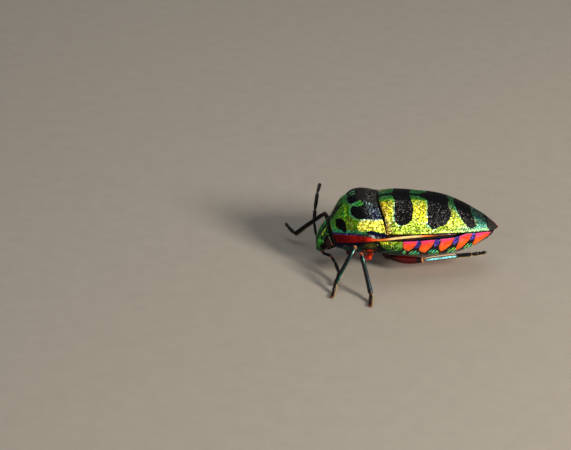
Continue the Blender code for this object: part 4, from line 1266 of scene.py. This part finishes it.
def tibia_shades(pair, down, outer):
    """Colours of a tibia with a painted highlight along one edge."""
    across_leg = unit(np.cross(UP, down))
    lit = np.array((0, 0.97 * outer, 0.25) if pair == "hind" else (0.7, 0.5 * outer, 0.5))
    lit_turn = np.arctan2(lit @ across_leg, lit @ np.cross(down, across_leg))

    def shades(s, turn):
        toward = np.cos(turn - lit_turn)
        if pair == "hind":
            # painted highlight: a cyan streak along the edge given by lit, with painted cream highlights
            # beside it, over brown
            near = ease(s, 0.70, 0.62)
            sheen = ease(toward, 0.915, 0.975) * ease(s, 0.02, 0.06) * near
            dark = layered("060A0A", ("4A2C22", near), ("E8C8A0", bump(toward, 0.55, 0.14) * near),
                           ("8CF4FC", sheen))
        else:
            # painted highlight: a teal sheen along the edge given by lit, strongest near both ends, with a
            # pale glint near the knee
            faint = 0.30 if pair == "middle" else 0.12
            lit_share = faint + 0.70 * bump(s, 0.12, 0.12) + 0.70 * bump(s, 0.80, 0.12)
            sheen = ease(toward, 0.86, 0.99) * lit_share
            blue = blend("1E7A6E", "12485C", ease(s, 0.3, 0.5) * (pair == "middle"))
            dark = layered("050707", (blue, sheen),
                           ("B8F8EC", ease(toward, 0.94, 0.99) * bump(s, 0.12, 0.05)))
        return layered(RUST, (HORN, 0.2)), dark, to_end(s) * 6.0 - 0.10, 0.7 * sheen
    return shades


def tibia(key, knee, ankle, paint, pair, outer, seed):
    """Four-edged, wider towards the foot, with a painted highlight along one edge. Gives its hairs and pads.
    """
    down = unit(ankle - knee)
    length = np.linalg.norm(ankle - knee)
    s = np.linspace(0, 1, fine(180))
    path = bowed(knee + down * 0.06, ankle - down * 0.03, -0.05, len(s))
    if pair == "hind":
        wide = Curve((0, 0.17), (0.06, 0.24), (0.3, 0.29), (0.6, 0.27), (0.75, 0.22), (0.93, 0.225),
                     (1, 0.20))
    else:
        wide = Curve((0, 0.15), (0.06, 0.20), (0.3, 0.22), (0.7, 0.235), (0.93, 0.25), (1, 0.22))
    radii = wide(s) * cap(s, length, 0.10, 0.10)
    turn = around(64)
    edges = 1 + 0.10 * np.cos(4 * turn) - 0.08 * bump(np.sin(turn / 2 + np.pi / 4), 0.7, 0.08)
    shape = radii[:, None] * edges + 0.004 * lumps((s * length)[:, None], turn * 0.2, 0.16, seed + 2)
    limb(f"leg_{key}_tibia", path, shape, shape.shape[1], paint, LIMB_SLOT, [f"tibia_{key}"],
         tibia_shades(pair, down, outer))
    return (tuft(path, radii, int(120 * length), seed + 3, 1.0, (0.09, 0.17), uneven=True),
            tuft(path, radii, int(150 * length), seed + 4, 1.3, (0.10, 0.19), (np.pi, 0.45), 0.6, 0.99))


def tarsus(key, knee, ankle, toe, standing, paint, claw_paint, seed):
    """Three segments, a pair of claws and a sole of short pale hairs. Gives its hairs and pads."""
    down = unit(ankle - knee)
    if standing:
        level = 0.185
        run = np.array((toe[0] - ankle[0], toe[1] - ankle[1], 0))
        heel = np.array((ankle[0], ankle[1], level)) + run * 0.40
        tip = np.array((toe[0], toe[1], level - 0.02))
        stops = [ankle + (heel - ankle) * 0.55, heel, heel + (tip - heel) * 0.5, tip]
    else:
        stops = [ankle + (toe - ankle) * 0.5 - np.array((0, 0, 0.03)), toe]
    route = smooth_path([ankle - down * 0.14, *stops], 200)
    last = len(route) - 1
    whole = np.linalg.norm(np.diff(route, axis=0), axis=1).sum()
    # the side of the foot towards +X, where the key light falls
    fringe_turn = np.pi / 2 if unit(np.cross(UP, route[-1] - route[0]))[0] > 0 else -np.pi / 2
    plump = Curve((0, 0.62), (0.25, 0.85), (0.8, 1.05), (1, 0.92))

    def shades(s, turn):
        return RUST, blend(BLACK, RUST, ease(np.cos(turn), -0.3, -0.9)), to_end(s) * 1.2 - 0.07, 0.0
    hairs, pads = [], []
    for number, (a, b, radius) in enumerate(((0.03, 0.44, 0.20), (0.42, 0.60, 0.19), (0.58, 0.90, 0.175))):
        part = route[int(a * last):int(b * last) + 1]
        length = whole * (b - a)
        s = np.linspace(0, 1, len(part))
        radii = radius * plump(s) * cap(s, length, 0.06, 0.08)
        limb(f"leg_{key}_tarsus_{number + 1}", part, radii, fine(36), paint, LIMB_SLOT,
             () if number else [f"tarsus_{key}"], shades)
        hairs.append(tuft(part, radii, int(170 * whole * (b - a)), seed + 5 + number, 0.9, (0.05, 0.11)))
        pads.append(tuft(part, radii, int(420 * whole * (b - a)), seed + 8 + number, 0.7, (0.06, 0.12),
                         (np.pi, 0.55)))
        # painted light: a fringe of pale pad hairs on the lit side, real pad hairs placed there for the light
        # they catch
        if standing:
            pads.append(tuft(part, radii, int(340 * whole * (b - a)), seed + 12 + number, 0.8, (0.11, 0.19),
                             (fringe_turn, 0.30)))

    heading = unit(route[-1] - route[-20])
    side = unit(np.cross(UP, heading))
    root = route[int(0.88 * last)]
    t = np.linspace(0, 1, fine(24))[:, None]
    for sign, half in ((-1, "a"), (1, "b")):
        reach = heading * 0.26 + side * sign * 0.15
        path = root + side * sign * 0.05 + reach * t + DOWN * (0.10 * t ** 2 - 0.06 * np.sin(np.pi * t))
        radii = 0.042 * (1 - 0.9 * t[:, 0]) * cap(t[:, 0], 0.3, 0.03, 0.004) + 0.002
        limb(f"leg_{key}_claw_{half}", path, radii, fine(14), claw_paint, LIMB_SLOT, (),
             lambda s, turn: ("4A1C0C", BLACK, s - 0.45, 0.0))
    return hairs, pads


def leg(key, red, dark, hair, pad_hair):
    upper, lower, start, knee, out, ankle, toe, standing = leg_plan(key)
    pair = key.split("_")[0]
    outer = np.sign(upper[1])
    seed = 100 + 10 * list(LEGS).index(key)
    # painted light: the red of coxa and femur is bright on the middle legs, lit, and darkened as painted
    # shade on the front and hind legs; the knee colour is pale on the near-side legs, partly a painted
    # highlight, and dark on the far-side legs as painted shade
    root_red_with_painted_light = {"front": "1E0A08", "middle": "E0380E", "hind": "180404"}[pair]
    far_red_with_painted_light = "6E0E09" if pair == "middle" else "500605"
    knee_horn_with_painted_light = colour("4A1A10" if outer > 0 else "C85A28" if pair == "middle" else "B07A48")

    leg_root(key, upper, lower, start, out, red, root_red_with_painted_light, seed)
    femur_hairs = femur(key, start, knee + out * 0.11, red, 0.43 if pair == "hind" else 0.34,
                        (root_red_with_painted_light, far_red_with_painted_light, knee_horn_with_painted_light), seed)
    joint = ball(knee + out * 0.02, 0.20, fine(24), fine(32), axis=2)
    tube(f"leg_{key}_knee", joint, red, FEMUR_SLOT,
         tint=0.85 * knee_horn_with_painted_light, dark="4A0E08", ink=(joint - knee) @ unit(ankle - knee) + 0.02, metal=0.0)
    tibia_hairs, tibia_pads = tibia(key, knee, ankle, dark, pair, outer, seed)
    foot_hairs, foot_pads = tarsus(key, knee, ankle, toe, standing, dark, red, seed)
    bristles(f"leg_{key}_hairs", [femur_hairs, tibia_hairs, *foot_hairs], 0.010, hair)
    bristles(f"leg_{key}_pads", [tibia_pads, *foot_pads], 0.011, pad_hair)


# ---------------------------------------------------------------- stage

CAMERA_PLACE = np.array((-13.65, -182.22, 106.02))
CAMERA_TILT = 61.0
CAMERA_LENS = 116.6
FLOOR_HALF = 1.5            # in metres
# name, place, size, power and colour
LIGHTS = (("key", (206, -166, 132), 80, 1.26, (1.0, 0.95, 0.86)),
          ("fill", (-120, -150, 110), 120, 0.06, (0.92, 0.96, 1.0)),
          ("top", (20, 30, 200), 170, 0.11, (0.95, 0.97, 1.0)),
          ("rim", (-60, 200, 90), 60, 0.02, (0.95, 0.97, 1.0)))
LIT_PLACE = np.array((0, 0, 4))


def area_light(name, place, size, power, shade):
    data = bpy.data.lights.new(name, "AREA")
    data.shape = "DISK"
    data.size = size * MM
    data.energy = power
    data.color = shade
    lamp = bpy.data.objects.new(name, data)
    lamp.location = Vector(np.array(place) * MM)
    lamp.rotation_euler = (Vector(LIT_PLACE * MM) - lamp.location).to_track_quat("-Z", "Y").to_euler()
    bpy.context.scene.collection.objects.link(lamp)


def stage():
    mesh = bpy.data.meshes.new("floor")
    mesh.from_pydata([(x * FLOOR_HALF, y * FLOOR_HALF, 0) for x, y in ((-1, -1), (1, -1), (1, 1), (-1, 1))],
                     [], [(0, 1, 2, 3)])
    mesh.materials.append(floor_paint())
    floor = bpy.data.objects.new("floor", mesh)
    bpy.context.scene.collection.objects.link(floor)
    for light in LIGHTS:
        area_light(*light)
    world = bpy.data.worlds.new("studio")
    world.use_nodes = True
    background = world.node_tree.nodes["Background"]
    background.inputs["Color"].default_value = (0.90, 0.95, 1.0, 1.0)
    background.inputs["Strength"].default_value = 0.10
    bpy.context.scene.world = world
    data = bpy.data.cameras.new("camera")
    data.lens = CAMERA_LENS
    data.sensor_width = 36.0
    data.clip_start, data.clip_end = 0.01, 10.0
    camera = bpy.data.objects.new("camera", data)
    camera.location = Vector(CAMERA_PLACE * MM + SHIFT)
    camera.rotation_euler = Euler((np.radians(CAMERA_TILT), 0, 0))
    bpy.context.scene.collection.objects.link(camera)
    bpy.context.scene.camera = camera
    bpy.context.scene.view_settings.view_transform = "Standard"


# ---------------------------------------------------------------- build

jewel = jewel_paint()
pronotum(jewel)
scutellum(jewel)
thorax(jewel)
head(jewel)
abdomen(enamel_paint("belly_enamel", 0.30, 0.25, 0.010, tilt=0.10))
wing = enamel_paint("wing_edge", 0.28, 0.3, 0.006)
for flank_side, flank_name in ((-1, "left"), (1, "right")):
    corium_wing(flank_side, flank_name, wing)
    corium_bead(flank_side, flank_name, wing)
limb_red = enamel_paint("leg_red_enamel", 0.36, 0.12, 0.010)
limb_dark = enamel_paint("leg_dark_enamel", 0.32, 0.15, 0.008)
eyes(eye_paint(), limb_red, eye_paint())
dark_hair = hair_paint("dark_hair", "0E0C0A", "3A2415")
pale_hair = hair_paint("pale_hair", "A87C3E", STRAW)
antennae(limb_dark, dark_hair)
rostrum(limb_dark)
for leg_key in LEGS:
    leg(leg_key, limb_red, limb_dark, dark_hair, pale_hair)
stage()
